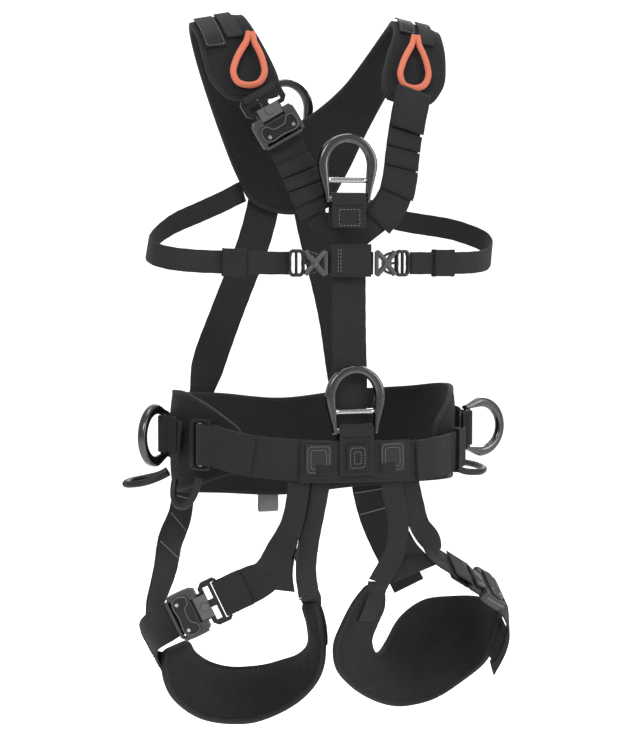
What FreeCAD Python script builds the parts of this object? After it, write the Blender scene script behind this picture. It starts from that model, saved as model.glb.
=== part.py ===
import FreeCAD, Part
import math
import os
import Sketcher

# Full-body tree climbing harness: a padded shoulder yoke, a chest strap, a padded waist belt and two
# padded leg loops, with attachment rings, quick buckles and gear loops.
# Millimetres, +Z up, the wearer faces -Y. In names, left is the -X side and right the +X side, as
# seen from in front. The origin is the seat of the ventral ring, where a karabiner rests.

Vector = FreeCAD.Vector
Placement = FreeCAD.Placement
Rotation = FreeCAD.Rotation

doc = FreeCAD.newDocument("climbing_saddle")
sheet = doc.addObject("Spreadsheet::Sheet", "sizes")

SIZES = [
    ("webbing_thickness", 1.8), ("belt_width", 45.0), ("body_strap_width", 40.0),
    ("chest_width", 25.0), ("riser_width", 25.0), ("pad_thickness", 10.0), ("pad_edge", 4.5),
    ("waist_pad_thickness", 11.0), ("waist_half_width", 170.0), ("waist_half_depth", 120.0),
    ("ring_seat_radius", 19.0), ("ring_outer_radius", 34.5), ("ring_thickness", 9.5),
    ("ring_leg", 46.9), ("ring_neck", 21.5), ("ring_belly", 23.4), ("ring_bar_radius", 4.0),
    ("ring_bar_drop", 42.5), ("cross_bar_radius", 3.0), ("cross_bar_drop", 22.5),
    ("hip_ring_leg", 29.5), ("hip_bar_drop", 26.0), ("ring_edge_round", 2.2),
    ("buckle_width", 50.0), ("buckle_length", 34.0), ("buckle_depth", 12.0),
    ("frame_width", 50.0), ("frame_length", 22.0), ("frame_depth", 4.0),
    ("tongue_width", 30.0), ("tongue_length", 16.0), ("tongue_depth", 3.6),
    ("cavity_width", 32.0), ("cavity_length", 18.0), ("cavity_depth", 4.6),
    ("lever_width", 26.0), ("lever_length", 14.0), ("lever_depth", 2.8),
    ("trunnion_radius", 1.2), ("trunnion_clearance", 0.05), ("boss_radius", 4.6),
    ("cover_width", 40.0), ("cover_length", 17.0), ("cover_depth", 1.6),
    ("rivet_radius", 2.0), ("rivet_head", 1.2),
    ("side_buckle_width", 30.0), ("side_buckle_length", 25.0), ("side_buckle_depth", 9.0),
    ("plug_length", 18.0), ("arm_width", 4.0), ("arm_length", 17.0), ("arm_depth", 4.0),
    ("ladder_slot", 4.0), ("keeper_width", 30.0), ("keeper_depth", 9.0),
    ("adjuster_width", 55.0), ("adjuster_length", 28.0), ("adjuster_depth", 3.5),
    ("adjuster_bar_radius", 2.5), ("loop_tube_radius", 3.8), ("lanyard_tube_radius", 3.6),
    ("label_thickness", 0.8),
]
for row, (alias, number) in enumerate(SIZES, start=1):
    sheet.set("A%d" % row, alias)
    sheet.set("B%d" % row, str(number))
    sheet.setAlias("B%d" % row, alias)
doc.recompute()


def size(alias):
    return float(getattr(sheet, alias))


# ---- measured paths and places ------------------------------------------------------------------
# Strap centre lines: label, width, then rows of x, y, z, facing azimuth (0 = -Y, 90 = +X),
# facing elevation and, where the width changes, a width factor.
STRAPS = {
    "front_strap": ("body_strap_width", [
        [6.2, 37.8, 176.3, 0, 0], [6, 35.5, 153.2, 0, 0], [4.4, 30.5, 115.8, 0, 0],
        [0.9, 20, 54.7, 0, 0], [-0.8, 13, 16.7, 0, 0], [-1.4, 10, -10.6, 0, 0],
        [0.1, 9, -54.5, 0, 0], [0.1, 9, -94.2, 0, 0],
    ]),
    "rear_strap_left": ("body_strap_width", [
        [-24, 222.5, 238, -180, 0], [-28, 222, 214, -180, 0], [-46, 222, 150, -180, 0],
        [-59, 222, 119, -178, 0], [-78, 223, 72, -181, 0], [-97, 227, 18, -184, 0],
        [-106.6, 223.2, -14, -150.7, 0], [-110, 221.2, -32, -149.4, 0],
        [-111.2, 220.5, -46, -148.9, 0],
    ]),
    "rear_strap_right": ("body_strap_width", [
        [24, 222.5, 238, 180, 0], [26, 222, 214, 180, 0], [40, 222, 150, 180, 0],
        [49, 222, 119, 178, 0], [61, 226, 72, 181, 0], [73, 236.8, 18, 184, 0],
        [80.6, 235.3, -14, 159.3, 0], [84, 233.9, -32, 158.3, 0], [85.2, 233.4, -46, 157.9, 0],
    ]),
    "shoulder_strap_left": ("body_strap_width", [
        [-74.82, 52.67, 290.46, -7.53, 3.7], [-68.07, 50.88, 278.32, -7.53, 3.7],
        [-62.89, 48.57, 268.84, -7.53, 3.7], [-58.9, 45.5, 257.9, -6, 12],
        [-50.4, 40, 236.1, -4, 10], [-43.1, 34.6, 215.4, -2, 8], [-38.2, 32, 203.4, 0, 3],
        [-33.3, 31.2, 193.1, 0, 0],
    ]),
    "shoulder_strap_right": ("body_strap_width", [
        [90.7, 58, 329.7, 8, 20], [83.1, 51.5, 306.8, 8, 18], [75.9, 45.5, 280.9, 7, 14],
        [70.5, 41, 255.1, 6, 12], [65.5, 36, 230.6, 4, 10], [58.7, 32.6, 210.6, 2, 6],
        [47.5, 31.2, 195, 0, 0], [37.9, 31.2, 184, 0, 0],
    ]),
    "chest_strap_left": ("chest_width", [
        [-62, 33.5, 139, -9, 0], [-93.8, 38.2, 139.3, -10, 0], [-137.1, 45.5, 140.4, -13, 0],
        [-171.1, 52.5, 142.1, -22, 0], [-189.1, 60, 144.3, -35, 0], [-203.6, 76, 149, -60, 2],
        [-205.4, 98, 155.4, -88, 5], [-193.2, 121, 164.7, -112, 8],
        [-166.7, 145, 179.8, -135, 10], [-119.1, 178, 197.2, -152, 8],
        [-84.4, 200, 209.8, -162, 6], [-60.7, 216.5, 219.3, -170, 3],
        [-56.2, 219, 220.9, -172, 2],
    ]),
    "chest_strap_right": ("chest_width", [
        [78.6, 33.5, 138.4, 9, 0], [104.6, 37.5, 138.2, 10, 0], [142.1, 44.5, 138.2, 18, 0],
        [170.6, 58, 139, 45, 0], [196.9, 82, 142.7, 70, 2], [211.5, 105, 151.2, 95, 5],
        [212.8, 130, 162.8, 118, 8], [195.1, 151, 172.9, 137, 10], [125.9, 192, 189, 160, 6],
        [95.3, 212, 201.1, 168, 3], [66.1, 219.5, 207.6, 172, 2],
    ]),
    "chest_center_webbing": ("chest_width", [
        [-21.6, 26.5, 138.9, -8, 0], [3.7, 25.2, 138.8, 0, 0], [31.4, 26.5, 138.6, 8, 0],
    ]),
    "waist_belt_webbing": ("belt_width", [
        [-173.7, 85.4, -57, -65.3, 0], [-179.5, 105.4, -54, -76.7, 0],
        [-178.5, 132.6, -52.5, -92.8, 0], [-164.7, 171.6, -55, -117.3, 0],
        [-133.6, 209.1, -59, -139.9, 0], [-87, 236.7, -63, -157.8, 0],
        [0, 253.2, -68, -180, 0], [87, 236.7, -63, -202.2, 0], [133.6, 209.1, -59, -220.1, 0],
        [164.4, 171.4, -55, -242.7, 0], [175.2, 128, -53, -270, 0],
        [169.9, 97.2, -55, -289.5, 0], [162.1, 80.5, -60, -299.8, 0],
    ]),
    "belt_webbing_left": ("belt_width", [
        [-113.5, 11.18, -68.5, -28, 0], [-128.36, 23.55, -65.5, -40, 0],
        [-140.45, 38.94, -62.2, -50, 0], [-152.83, 50.77, -59.2, -54, 0],
        [-160.44, 60.06, -59.2, -54, 0], [-161.27, 63.49, -59.2, -99, 0],
        [-159.43, 66.49, -59.2, -144, 0], [-156, 67.31, -59.2, -189, 0],
        [-153, 65.47, -59.2, -234, 0], [-145.95, 55.76, -59.2, -234, 0],
        [-138, 41, -62.2, -230, 0], [-126.3, 26, -65.5, -220, 0], [-112, 14, -68.5, -208, 0],
        [-93.8, 5.5, -70.8, -194, 0], [-63.4, 0.8, -73.7, -184, 0], [-34.9, 0, -75.6, -181, 0],
        [-6.9, 0, -77.1, -180, 0],
    ]),
    "belt_main_right": ("belt_width", [
        [14.2, 0, -77.9, 0, 0], [44.2, 0.8, -78.7, 3, 0], [73.4, 5, -79.5, 16, 0],
        [97.6, 13.5, -77.9, 32, 0], [122.3, 28, -75.8, 48, 0], [143.5, 45, -73.8, 58, 0],
        [159.5, 61, -71.9, 66, 0],
    ]),
    "belt_overlay_right": ("belt_width", [
        [74.28, 1.92, -79.5, 16, 0], [99.3, 10.79, -77.9, 32, 0], [124.68, 25.86, -75.8, 48, 0],
    ]),
    "riser_left_outer": ("body_strap_width", [
        [-62.9, 5.4, -65.1, 0, 0, 0.62], [-62.9, 5.4, -93.4, 0, 0, 0.62],
        [-65.5, 4.8, -117.3, -2, 0, 0.62], [-72.6, 2.6, -143.9, -5, 0, 0.64],
        [-85.6, 0, -168, -12, 0, 0.74], [-112.06, -16.57, -197.2, -20.47, -1.45, 0.92],
        [-124.37, -13.41, -203.26, -20.47, -1.45, 1], [-136.58, -8.68, -209.5, -20.47, -1.45, 1],
    ]),
    "riser_left_inner": ("riser_width", [
        [-37.5, 8.6, -69.6, 0, 0], [-38, 8.6, -97, 0, 0], [-43.1, 10.5, -130, 0, 0],
        [-48.3, 14, -163.2, 3, -5], [-48.9, 22, -197.6, 6, -15], [-39.7, 39, -227.6, 10, -25],
    ]),
    "riser_right_outer": ("body_strap_width", [
        [67.3, 9, -73.5, 0, 0, 0.62], [67.4, 9, -99.2, 0, 0, 0.62],
        [73.9, 8.6, -129.6, 3, 0, 0.62], [81.4, 8.8, -153.5, 10, 0, 0.64],
        [93.7, 6.2, -171.7, 20, 0, 0.72], [97.7, 3.08, -188.03, 49.81, 43.67, 0.9],
        [109.89, 6.07, -194.31, 49.81, 43.67, 1], [121.94, 9.65, -201.53, 49.81, 43.67, 1],
    ]),
    "riser_right_inner": ("riser_width", [
        [43, 5.2, -68.9, 0, 0], [44.2, 5.2, -97.8, 0, 0], [50.3, 5.2, -128.1, 0, 0],
        [53.9, 5, -150.5, 0, 0], [53.7, 6.4, -164.1, 0, 0], [52.9, 12.5, -181.7, -3, -3],
        [46.4, 20, -200.5, -8, -10], [40.9, 30, -217.5, -12, -18],
    ]),
    "leg_wrap_left": ("body_strap_width", [
        [-180.23, 17.65, -233.14, -20.47, -1.45], [-192.01, 22.22, -239.16, -20.47, -1.45],
        [-202.12, 26.13, -244.32, -20.47, -1.45], [-212, 34, -252.2, -50, 0],
        [-218.8, 50, -262.4, -65, -5], [-214.5, 70, -278.6, -80, -12],
        [-200.5, 92, -298.4, -95, -20],
    ]),
    "leg_wrap_right": ("body_strap_width", [
        [163.21, 27.47, -235.25, 49.81, 43.67], [174.85, 30.93, -242.23, 49.81, 43.67],
        [184.82, 33.9, -248.21, 49.81, 43.67], [206.9, 43, -271.4, 70, -6],
        [210.8, 52, -292.1, 72, -12], [208.6, 62, -312.7, 74, -18], [199.7, 70, -334.9, 76, -22],
    ]),
    "rear_leg_strap_left": ("body_strap_width", [
        [-130.2, 207.1, -56, -140.4, 0], [-131.3, 206.4, -98, -139.9, 0],
        [-141.7, 196, -155, -150, 0], [-160.2, 172, -181.1, -158, 0],
        [-174.3, 146, -206.4, -156, 0], [-191.1, 118, -229.4, -140, 0],
        [-205.4, 98, -247.6, -120, 0], [-212.3, 86, -265.1, -108, 0],
    ]),
    "rear_leg_strap_right": ("body_strap_width", [
        [103, 225.2, -58, 152, 0], [101.9, 225.9, -102, 152.4, 0], [115.8, 222, -176.8, 150, 0],
        [127.1, 214, -207, 150, 0], [139.3, 205, -234.6, 152, 0], [148.3, 198, -256.1, 152, 0],
    ]),
}
SINGLE_STRAPS = ["front_strap", "shoulder_strap_left", "shoulder_strap_right",
                 "chest_center_webbing", "waist_belt_webbing", "belt_webbing_left"]
STRAP_GROUPS = {
    "leg_risers": ["riser_left_outer", "riser_left_inner",
                   "riser_right_outer", "riser_right_inner"],
    "rear_straps": ["rear_strap_left", "rear_strap_right"],
    "chest_straps": ["chest_strap_left", "chest_strap_right"],
    "belt_webbing_right": ["belt_main_right", "belt_overlay_right"],
    "leg_wrap_straps": ["leg_wrap_left", "leg_wrap_right"],
    "rear_leg_straps": ["rear_leg_strap_left", "rear_leg_strap_right"],
}
# Sleeves round the shoulder straps: start and end as fractions of the strap.
SLEEVES = {
    "shoulder_strap_left": [(0.4, 0.55), (0.565, 0.7), (0.715, 0.86)],
    "shoulder_strap_right": [(0.315, 0.43), (0.44, 0.57), (0.58, 0.76)],
}
# Short ribbons, rows as in STRAPS.
CENTRE_LOOP = [[-19.9, 21.6, 141.9, -4, 0], [3.2, 20.8, 141.8, 0, 0], [27.1, 21.6, 141.7, 4, 0]]
FRONT_PANEL = [
    [-64, -2.2, -75.2, -4, 0], [-32, -2.9, -76.4, -1, 0], [0, -2.9, -77.2, 0, 0],
    [32, -2.6, -77.6, 2, 0], [64, -0.1, -77.8, 9, 0],
]
# Label patches on the front panel: rows, then width.
PATCHES = [
    ([[-59, -4.4, -73, -3, 0], [-44, -4.6, -73.3, -2, 0], [-29, -4.8, -73.6, -1, 0]], 33.0),
    ([[-12, -8.3, -72.5, 0, 0], [0, -8.3, -72.5, 0, 0], [12, -8.3, -72.5, 0, 0]], 29.0),
    ([[28, -4.5, -73.6, 1.5, 0], [43, -3.7, -73.3, 4, 0], [58, -2.6, -73, 7, 0]], 33.0),
]

# Ring and its place, legs of its webbing loop on the -Y and +Y sides, whether it has a cross bar.
CENTRE_RINGS = [
    ("ventral_ring", (0, 0, 0), 50, 50, True),
    ("sternal_ring", (-0.5, 22.5, 251.9), 32, 30, True),
    ("dorsal_ring", (0, 228, 326), 42, 42, False),
]
# Side, angle round the waist from the front, z, swing of the ring about +Z (degrees), and how far
# the belt surface lies off the waist ellipse.
HIP_RINGS = [("left", -80.5, -50, 33, 12.2), ("right", 76, -54, 34, 5.2)]
HIP_BAR_OFF = 7.6       # base bar of a hip ring off the belt surface
WAIST_FRONT_Y = 8.0     # front of the waist ellipse
CROWN_Z = -6.5          # centre of a ring's outer arc
BELLY_Z = -2.5          # widest place of a ring's opening
BAR_GAP = 0.7           # clearance between a bar and the webbing round it

# Origin, direction along the strap, outward direction; quick buckles add the leg of the frame loop.
BUCKLES = {
    "shoulder_buckle": ([-81.7, 45.9, 301.4], [-0.483, 0.12, 0.867], [-0.172, -0.975, 0.139], 4),
    "leg_buckle_left": ([-173.2, 5.5, -228.2], [0.842, -0.326, 0.43], [-0.468, -0.88, -0.087], 28),
    "leg_buckle_right": ([158.1, 20.4, -223.2], [-0.831, -0.247, 0.498], [0.785, -0.366, 0.5], 25),
}
CHEST_BUCKLES = [
    ("left", [-48.5, 24.6, 139.2], [-0.988, 0.156, 0], [-0.156, -0.988, 0]),
    ("right", [56, 24.6, 138.6], [0.988, 0.156, 0], [0.156, -0.988, 0]),
]
CHEST_KEEPERS = [
    ("left", [-124.2, 42.95, 140.05], [-0.983, 0.179, 0.027], [-0.191, -0.982, 0]),
    ("right", [121.85, 40.5, 138.3], [0.985, 0.173, -0.008], [0.208, -0.978, 0]),
]
BELT_KEEPER = ([140.4, 42.2, -73.5], [0.559, 0.829, 0], [0.829, -0.559, 0])
ADJUSTER = ([-156.724, 62.768, -59.2], [-0.588, 0.809, 0], [-0.809, -0.588, 0])

# Sheets between two edge curves, rows of x, y, z.
STERNAL_GUSSET = (
    [[-43.2, 34.3, 192.5], [-39.7, 34.3, 181.6], [-14.9, 33.2, 157.6]],
    [[67.9, 34.3, 200.7], [60.7, 34.3, 186.3], [24.9, 33.2, 157.6]],
)
LEG_GUSSETS = {
    "left": (
        [[-69.1, 7.5, -161.2], [-79.1, 5.5, -177.9], [-94.6, 3.8, -196.5], [-107.4, 3.2, -210.9]],
        [[-62.9, 10.5, -163.1], [-64.9, 14.5, -180], [-65.7, 19, -202.8], [-60.1, 28, -222.3]],
    ),
    "right": (
        [[65.1, 16, -159.3], [62.8, 19, -181], [57.6, 26.5, -204.4], [55.5, 36, -221.6]],
        [[69.9, 13, -159.1], [78.2, 12.5, -172.9], [90.2, 12, -185.9], [104.5, 14, -198.3]],
    ),
}
# The yoke's +X half, from the middle of the back over the shoulder to the front.
YOKE_INNER_HALF = [
    [0, 210, 300], [15, 209, 303], [38, 206, 319], [63, 198, 343], [77, 188, 363],
    [89, 170, 386], [95, 140, 407], [92, 118, 412], [88, 100, 400], [73, 86, 368],
    [64, 76, 341], [65, 67, 322],
]
YOKE_OUTER_HALF = [
    [0, 214, 196], [44, 212, 208], [66, 207, 240], [88, 200, 287], [107, 188, 329],
    [125, 172, 368], [140, 148, 397], [147, 122, 402], [145, 103, 388], [142, 88, 362],
    [136, 80, 337], [120, 71, 318],
]
LEG_PADS = {
    "left": (
        [
            [-163.1, 92, -282.7], [-152.9, 112, -296.7], [-136.5, 135, -311],
            [-115.1, 158, -324.8], [-90, 176, -335], [-63, 187, -339.8], [-39.7, 186, -339],
            [-22.8, 170, -331], [-13, 145, -320.2], [-10.4, 118, -303.4], [-20, 90, -275.4],
            [-35.9, 66, -245.5],
        ],
        [
            [-198.6, 66, -286.7], [-197, 70, -309.9], [-186.3, 82, -335.6],
            [-164.3, 98, -358.9], [-137.9, 112, -375.7], [-106.2, 122, -385],
            [-76.3, 125, -386.7], [-48.3, 118, -376.9], [-25.2, 104, -358.8],
            [-10.4, 88, -332.2], [-10.4, 70, -292.9], [-26.7, 52, -240.8],
        ],
    ),
    "right": (
        [
            [53.3, 47, -233.5], [55.3, 54, -249.2], [52.6, 66, -268.7], [51.8, 84, -291.9],
            [57.1, 94, -305.8], [66.1, 104, -315.4], [79.3, 118, -316.8], [96.3, 138, -308.8],
            [123.7, 164, -287.8], [161.8, 180, -272.3], [192.6, 175, -269.7],
            [213.7, 140, -265], [216.2, 84, -269.9],
        ],
        [
            [30.9, 38, -222.7], [18.1, 40, -238.1], [4, 46, -267.1], [-2.2, 54, -293.8],
            [4.9, 64, -319.2], [24.9, 78, -340.9], [56.3, 95, -362.7], [92.6, 113, -378.4],
            [127.4, 126, -382.3], [162.3, 132, -375.6], [188.6, 124, -356.5],
            [203.4, 100, -331.7], [207.5, 68, -287.8],
        ],
    ),
}
# Waist pad stations: angle round the waist from the front, top z, bottom z.
WAIST = [
    (-45, -43.5, -86.5), (-60, -21, -98.5), (-80, -6.5, -111.5), (-95, -6.5, -117),
    (-120, -12.5, -124.5), (-150, -18.5, -133), (-180, -27.5, -140.5), (-210, -18.5, -133),
    (-240, -12.5, -124.5), (-265, -6.5, -117), (-280, -6.5, -111.5), (-300, -21, -98.5),
    (-315, -43.5, -86.5),
]
# Patches on the yoke: start and end as fractions of its length, then of its width from the inner
# edge, then the offset. The sheet's normal points to the wearer, so outward offsets are negative.
LABELS = [(0.088, 0.15, 0.6, 0.97, -6.6), (0.885, 0.84, 0.03, 0.38, -6.6)]
LOOP_KEEPERS = [(0.1, 0.15, 0.24, 0.55, -7.4), (0.9, 0.85, 0.45, 0.76, -7.4)]

# Centre lines of the round tubes: x, y, z.
LANYARDS = {
    "left": [
        [-98, 80.272, 380.4], [-104.98, 77.495, 370.88], [-111.83, 73.9, 358.98],
        [-115.78, 70.112, 347.08], [-112.308, 66.318, 336.608], [-100.4, 64.232, 332.8],
        [-87.308, 64.66, 336.608], [-80.58, 67.777, 347.08], [-80.83, 71.844, 358.98],
        [-83.98, 76.102, 370.88], [-88, 79.609, 380.4],
    ],
    "right": [
        [99.9, 81.509, 383.5], [92.56, 77.643, 373.7], [85.26, 72.935, 361.45],
        [80.86, 68.421, 349.2], [83.936, 64.912, 338.42], [95.7, 64.347, 334.5],
        [108.936, 66.581, 338.42], [116.06, 70.771, 349.2], [116.26, 75.005, 361.45],
        [113.56, 79.045, 373.7], [109.9, 82.177, 383.5],
    ],
}
GEAR_LOOPS = [
    [
        [-175.9, 123.5, -96], [-184, 128, -101], [-201.7, 136.6, -108], [-214.1, 150.5, -111],
        [-213.2, 170.5, -112], [-201.2, 186.8, -111], [-183.9, 191.4, -109],
        [-167.1, 184.3, -104], [-159.9, 182.6, -100],
    ],
    [
        [-156.7, 69.7, -97], [-159.5, 69.3, -107], [-164.1, 70.7, -119], [-170.4, 77.2, -128],
        [-175.4, 87.4, -129], [-177.5, 97.1, -121], [-176, 102.6, -110], [-173.9, 104.4, -101],
    ],
    [
        [151.9, 64.2, -98], [159.7, 64.4, -101], [177.3, 65.3, -103], [193.1, 82.9, -103],
        [202.9, 133.8, -102], [192.1, 172.7, -102], [176.7, 183.9, -102], [160.7, 183.1, -102],
        [157.7, 184, -102],
    ],
]
ACCESSORY_LOOP = (-14, 253, -160)

# ---- the document's pieces ----------------------------------------------------------------------
nodes = {}


def new_object(kind, label):
    obj = doc.addObject(kind, label)
    obj.Label = label
    return obj


def publish(obj):
    """Mark an object as a piece that gets its own file."""
    nodes[obj.Label] = obj


def group(label, members):
    compound = new_object("Part::Compound", label)
    compound.Links = members
    publish(compound)


# ---- dimensions: a plain number or a cell, which is factor * alias + offset ---------------------
def cell(alias, factor=1.0, offset=0.0):
    return (alias, factor, offset)


def half(alias, inset=0.0):
    return cell(alias, 0.5, -inset)


def negate(dim):
    return (dim[0], -dim[1], -dim[2]) if isinstance(dim, tuple) else -dim


def sides(alias, inset=0.0):
    """Both ends of a width centred on zero, each drawn in by inset."""
    return negate(half(alias, inset)), half(alias, inset)


def value(dim):
    return dim[1] * size(dim[0]) + dim[2] if isinstance(dim, tuple) else float(dim)


def formula(dim):
    return "%.6f * sizes.%s + %.6f" % (dim[1], dim[0], dim[2])


def bind(obj, prop, dim):
    if isinstance(dim, tuple):
        obj.setExpression(prop, formula(dim))
    else:
        setattr(obj, prop, dim)


# ---- sketches and features ----------------------------------------------------------------------
def new_body(label):
    return new_object("PartDesign::Body", label)


def new_sketch(body, name, plane="XY_Plane", offset=0.0):
    sketch = body.newObject("Sketcher::SketchObject", name)
    base = [o for o in body.Origin.OriginFeatures if o.Role == plane][0]
    sketch.AttachmentSupport = [(base, "")]
    sketch.MapMode = "FlatFace"
    if isinstance(offset, tuple):
        sketch.setExpression("AttachmentOffset.Base.z", formula(offset))
    elif offset:
        sketch.AttachmentOffset = Placement(Vector(0, 0, offset), Rotation())
    return sketch


def constrain(sketch, *terms):
    """Add a constraint whose last term is a dimension."""
    index = sketch.addConstraint(Sketcher.Constraint(*terms[:-1], value(terms[-1])))
    if isinstance(terms[-1], tuple):
        sketch.setExpression("Constraints[%d]" % index, formula(terms[-1]))


def pin_point(sketch, geometry, end, x, y):
    constrain(sketch, "DistanceX", -1, 1, geometry, end, x)
    constrain(sketch, "DistanceY", -1, 1, geometry, end, y)


def draw_outline(sketch, points):
    first = sketch.GeometryCount
    count = len(points)
    corners = [Vector(value(x), value(y), 0) for x, y in points]
    for i in range(count):
        sketch.addGeometry(Part.LineSegment(corners[i], corners[(i + 1) % count]), False)
    for i in range(count):
        sketch.addConstraint(
            Sketcher.Constraint("Coincident", first + i, 2, first + (i + 1) % count, 1))
    for i, (x, y) in enumerate(points):
        pin_point(sketch, first + i, 1, x, y)


def box_sketch(body, name, boxes, plane="XY_Plane", offset=0.0):
    """Rectangles, each given as left, right, bottom, top."""
    sketch = new_sketch(body, name, plane, offset)
    for x0, x1, y0, y1 in boxes:
        draw_outline(sketch, [(x0, y0), (x1, y0), (x1, y1), (x0, y1)])
    return sketch


def mirrored_sketch(body, name, right_half, plane="XY_Plane", offset=0.0):
    """An outline symmetric about x = 0; right_half runs from the bottom up."""
    sketch = new_sketch(body, name, plane, offset)
    draw_outline(sketch, right_half + [(negate(x), y) for x, y in reversed(right_half)])
    return sketch


def disc_sketch(body, name, centres, radius, plane="XY_Plane", offset=0.0):
    sketch = new_sketch(body, name, plane, offset)
    for x, y in centres:
        circle = Part.Circle(Vector(value(x), value(y), 0), Vector(0, 0, 1), value(radius))
        index = sketch.addGeometry(circle, False)
        pin_point(sketch, index, 3, x, y)
        constrain(sketch, "Radius", index, radius)
    return sketch


def extrude(body, kind, sketch, length, name):
    """Pad or pocket a sketch by half the length to each side of its plane."""
    feature = body.newObject("PartDesign::" + kind, name)
    feature.Profile = sketch
    bind(feature, "Length", length)
    feature.Midplane = True
    doc.recompute()
    return feature


def pad(body, sketch, length, name):
    return extrude(body, "Pad", sketch, length, name)


def pocket(body, sketch, length, name):
    before = body.Shape.Volume
    extrude(body, "Pocket", sketch, length, name)
    if body.Shape.Volume > before - 0.01:
        raise SystemExit("%s cuts nothing" % name)


def unit(vector):
    return vector * (1.0 / vector.Length)


def pose_at(origin, along, out):
    """Placement with local +Y along the strap and local +Z outwards."""
    y = unit(Vector(*along))
    x = unit(y.cross(Vector(*out)))
    return Placement(Vector(*origin), Rotation(x, y, x.cross(y), "XYZ"))


# ---- textiles: sheets of even or crowned thickness along measured curves ------------------------
def facing(azimuth, elevation):
    """Unit vector turned by azimuth degrees from -Y towards +X, then raised by elevation."""
    a, e = math.radians(azimuth), math.radians(elevation)
    return [math.sin(a) * math.cos(e), -math.cos(a) * math.cos(e), math.sin(e)]


def smooth(rows, count):
    """Evenly spaced rows on a cubic through the given ones; x, y, z lead each row and set pace."""
    last = len(rows) - 1
    reach = [0.0]
    for p, q in zip(rows, rows[1:]):
        reach.append(reach[-1] + max(math.dist(p[:3], q[:3]), 1e-6))
    tangents = []
    for i in range(last + 1):
        if 0 < i < last:
            h0, h1 = reach[i] - reach[i - 1], reach[i + 1] - reach[i]
            tangents.append([((q - p) / h0 * h1 + (r - q) / h1 * h0) / (h0 + h1)
                             for p, q, r in zip(rows[i - 1], rows[i], rows[i + 1])])
        else:
            j = 0 if i == 0 else last - 1
            step = reach[j + 1] - reach[j]
            tangents.append([(q - p) / step for p, q in zip(rows[j], rows[j + 1])])
    out = []
    for k in range(count):
        target = reach[-1] * k / (count - 1)
        i = 0
        while i < last - 1 and reach[i + 1] < target:
            i += 1
        step = reach[i + 1] - reach[i]
        u = (target - reach[i]) / step
        # Hermite weights: value and slope at the start, then at the end
        v0, s0 = 2 * u**3 - 3 * u * u + 1, u**3 - 2 * u * u + u
        v1, s1 = -2 * u**3 + 3 * u * u, u**3 - u * u
        out.append([v0 * p + s0 * step * tp + v1 * q + s1 * step * tq for p, tp, q, tq
                    in zip(rows[i], tangents[i], rows[i + 1], tangents[i + 1])])
    return out


def sheet_solid(rows):
    """Closed sheet about a grid of (point, normal, half thickness)."""
    skins = []
    for sign in (1, -1):
        surface = Part.BSplineSurface()
        surface.interpolate([[p + normal * (sign * h) for p, normal, h in row] for row in rows])
        skins.append(surface.toShape())

    def middle(edge):
        return edge.valueAt((edge.FirstParameter + edge.LastParameter) / 2)

    faces = list(skins)
    for edge in skins[0].Edges:
        partner = min(skins[1].Edges, key=lambda e: (middle(e) - middle(edge)).Length)
        # a ruled face joined to the wrong end of its partner is far larger
        rulings = [Part.makeRuledSurface(edge, partner),
                   Part.makeRuledSurface(edge, partner.reversed())]
        faces.append(min(rulings, key=lambda f: f.Area))
    shell = Part.Shell(faces)
    if not shell.isClosed():
        shell.sewShape()
    solid = Part.Solid(shell)
    if solid.Volume < 0:
        solid.reverse()
    return solid


def cloth(label, shape):
    feature = new_object("Part::Feature", label)
    feature.Shape = shape
    feature.Placement = Placement()
    return feature


def ribbon_frames(path, width, count):
    """Frames (centre, across, normal, width) along a path with rows as in STRAPS."""
    rows = [[*r[:3], *facing(r[3], r[4]), r[5] if len(r) > 5 else 1.0] for r in path]
    points = smooth(rows, count)
    frames = []
    for i, p in enumerate(points):
        before, after = points[max(i - 1, 0)], points[min(i + 1, count - 1)]
        along = unit(Vector(*after[:3]) - Vector(*before[:3]))
        across = unit(along.cross(Vector(*p[3:6])))
        frames.append((Vector(*p[:3]), across, unit(across.cross(along)), width * p[6]))
    return frames


def ribbon_solid(frames, thickness):
    return sheet_solid([[(centre + across * (side * width / 2), normal, thickness / 2)
                         for side in (-1, 1)] for centre, across, normal, width in frames])


def strap_shape(path, width, thickness, count=None):
    """A ribbon; without a count, its length and its turning set the number of frames."""
    if count is None:
        pairs = list(zip(path, path[1:]))
        length = sum(math.dist(p[:3], q[:3]) for p, q in pairs)
        turn = sum(math.dist(facing(p[3], p[4]), facing(q[3], q[4])) for p, q in pairs)
        count = max(8, int(length / 9), int(turn * 12))
    return ribbon_solid(ribbon_frames(path, width, count), thickness)


def strap_overlay(path, start, end, offset, width, thickness):
    """A ribbon lying off a strap between two fractions of its length."""
    frames = ribbon_frames(path, width, 81)
    picked = []
    for k in range(7):
        centre, across, normal, w = frames[int(round(80 * (start + (end - start) * k / 6)))]
        picked.append((centre + normal * offset, across, normal, w))
    return ribbon_solid(picked, thickness)


def paired(edge_a, edge_b, count):
    """Both edges of a sheet as vectors, sampled together so that their points stay opposite."""
    rows = [[(p + q) / 2 for p, q in zip(a, b)] + a + b for a, b in zip(edge_a, edge_b)]
    out = smooth(rows, count)
    return [Vector(*r[3:6]) for r in out], [Vector(*r[6:9]) for r in out]


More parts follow.
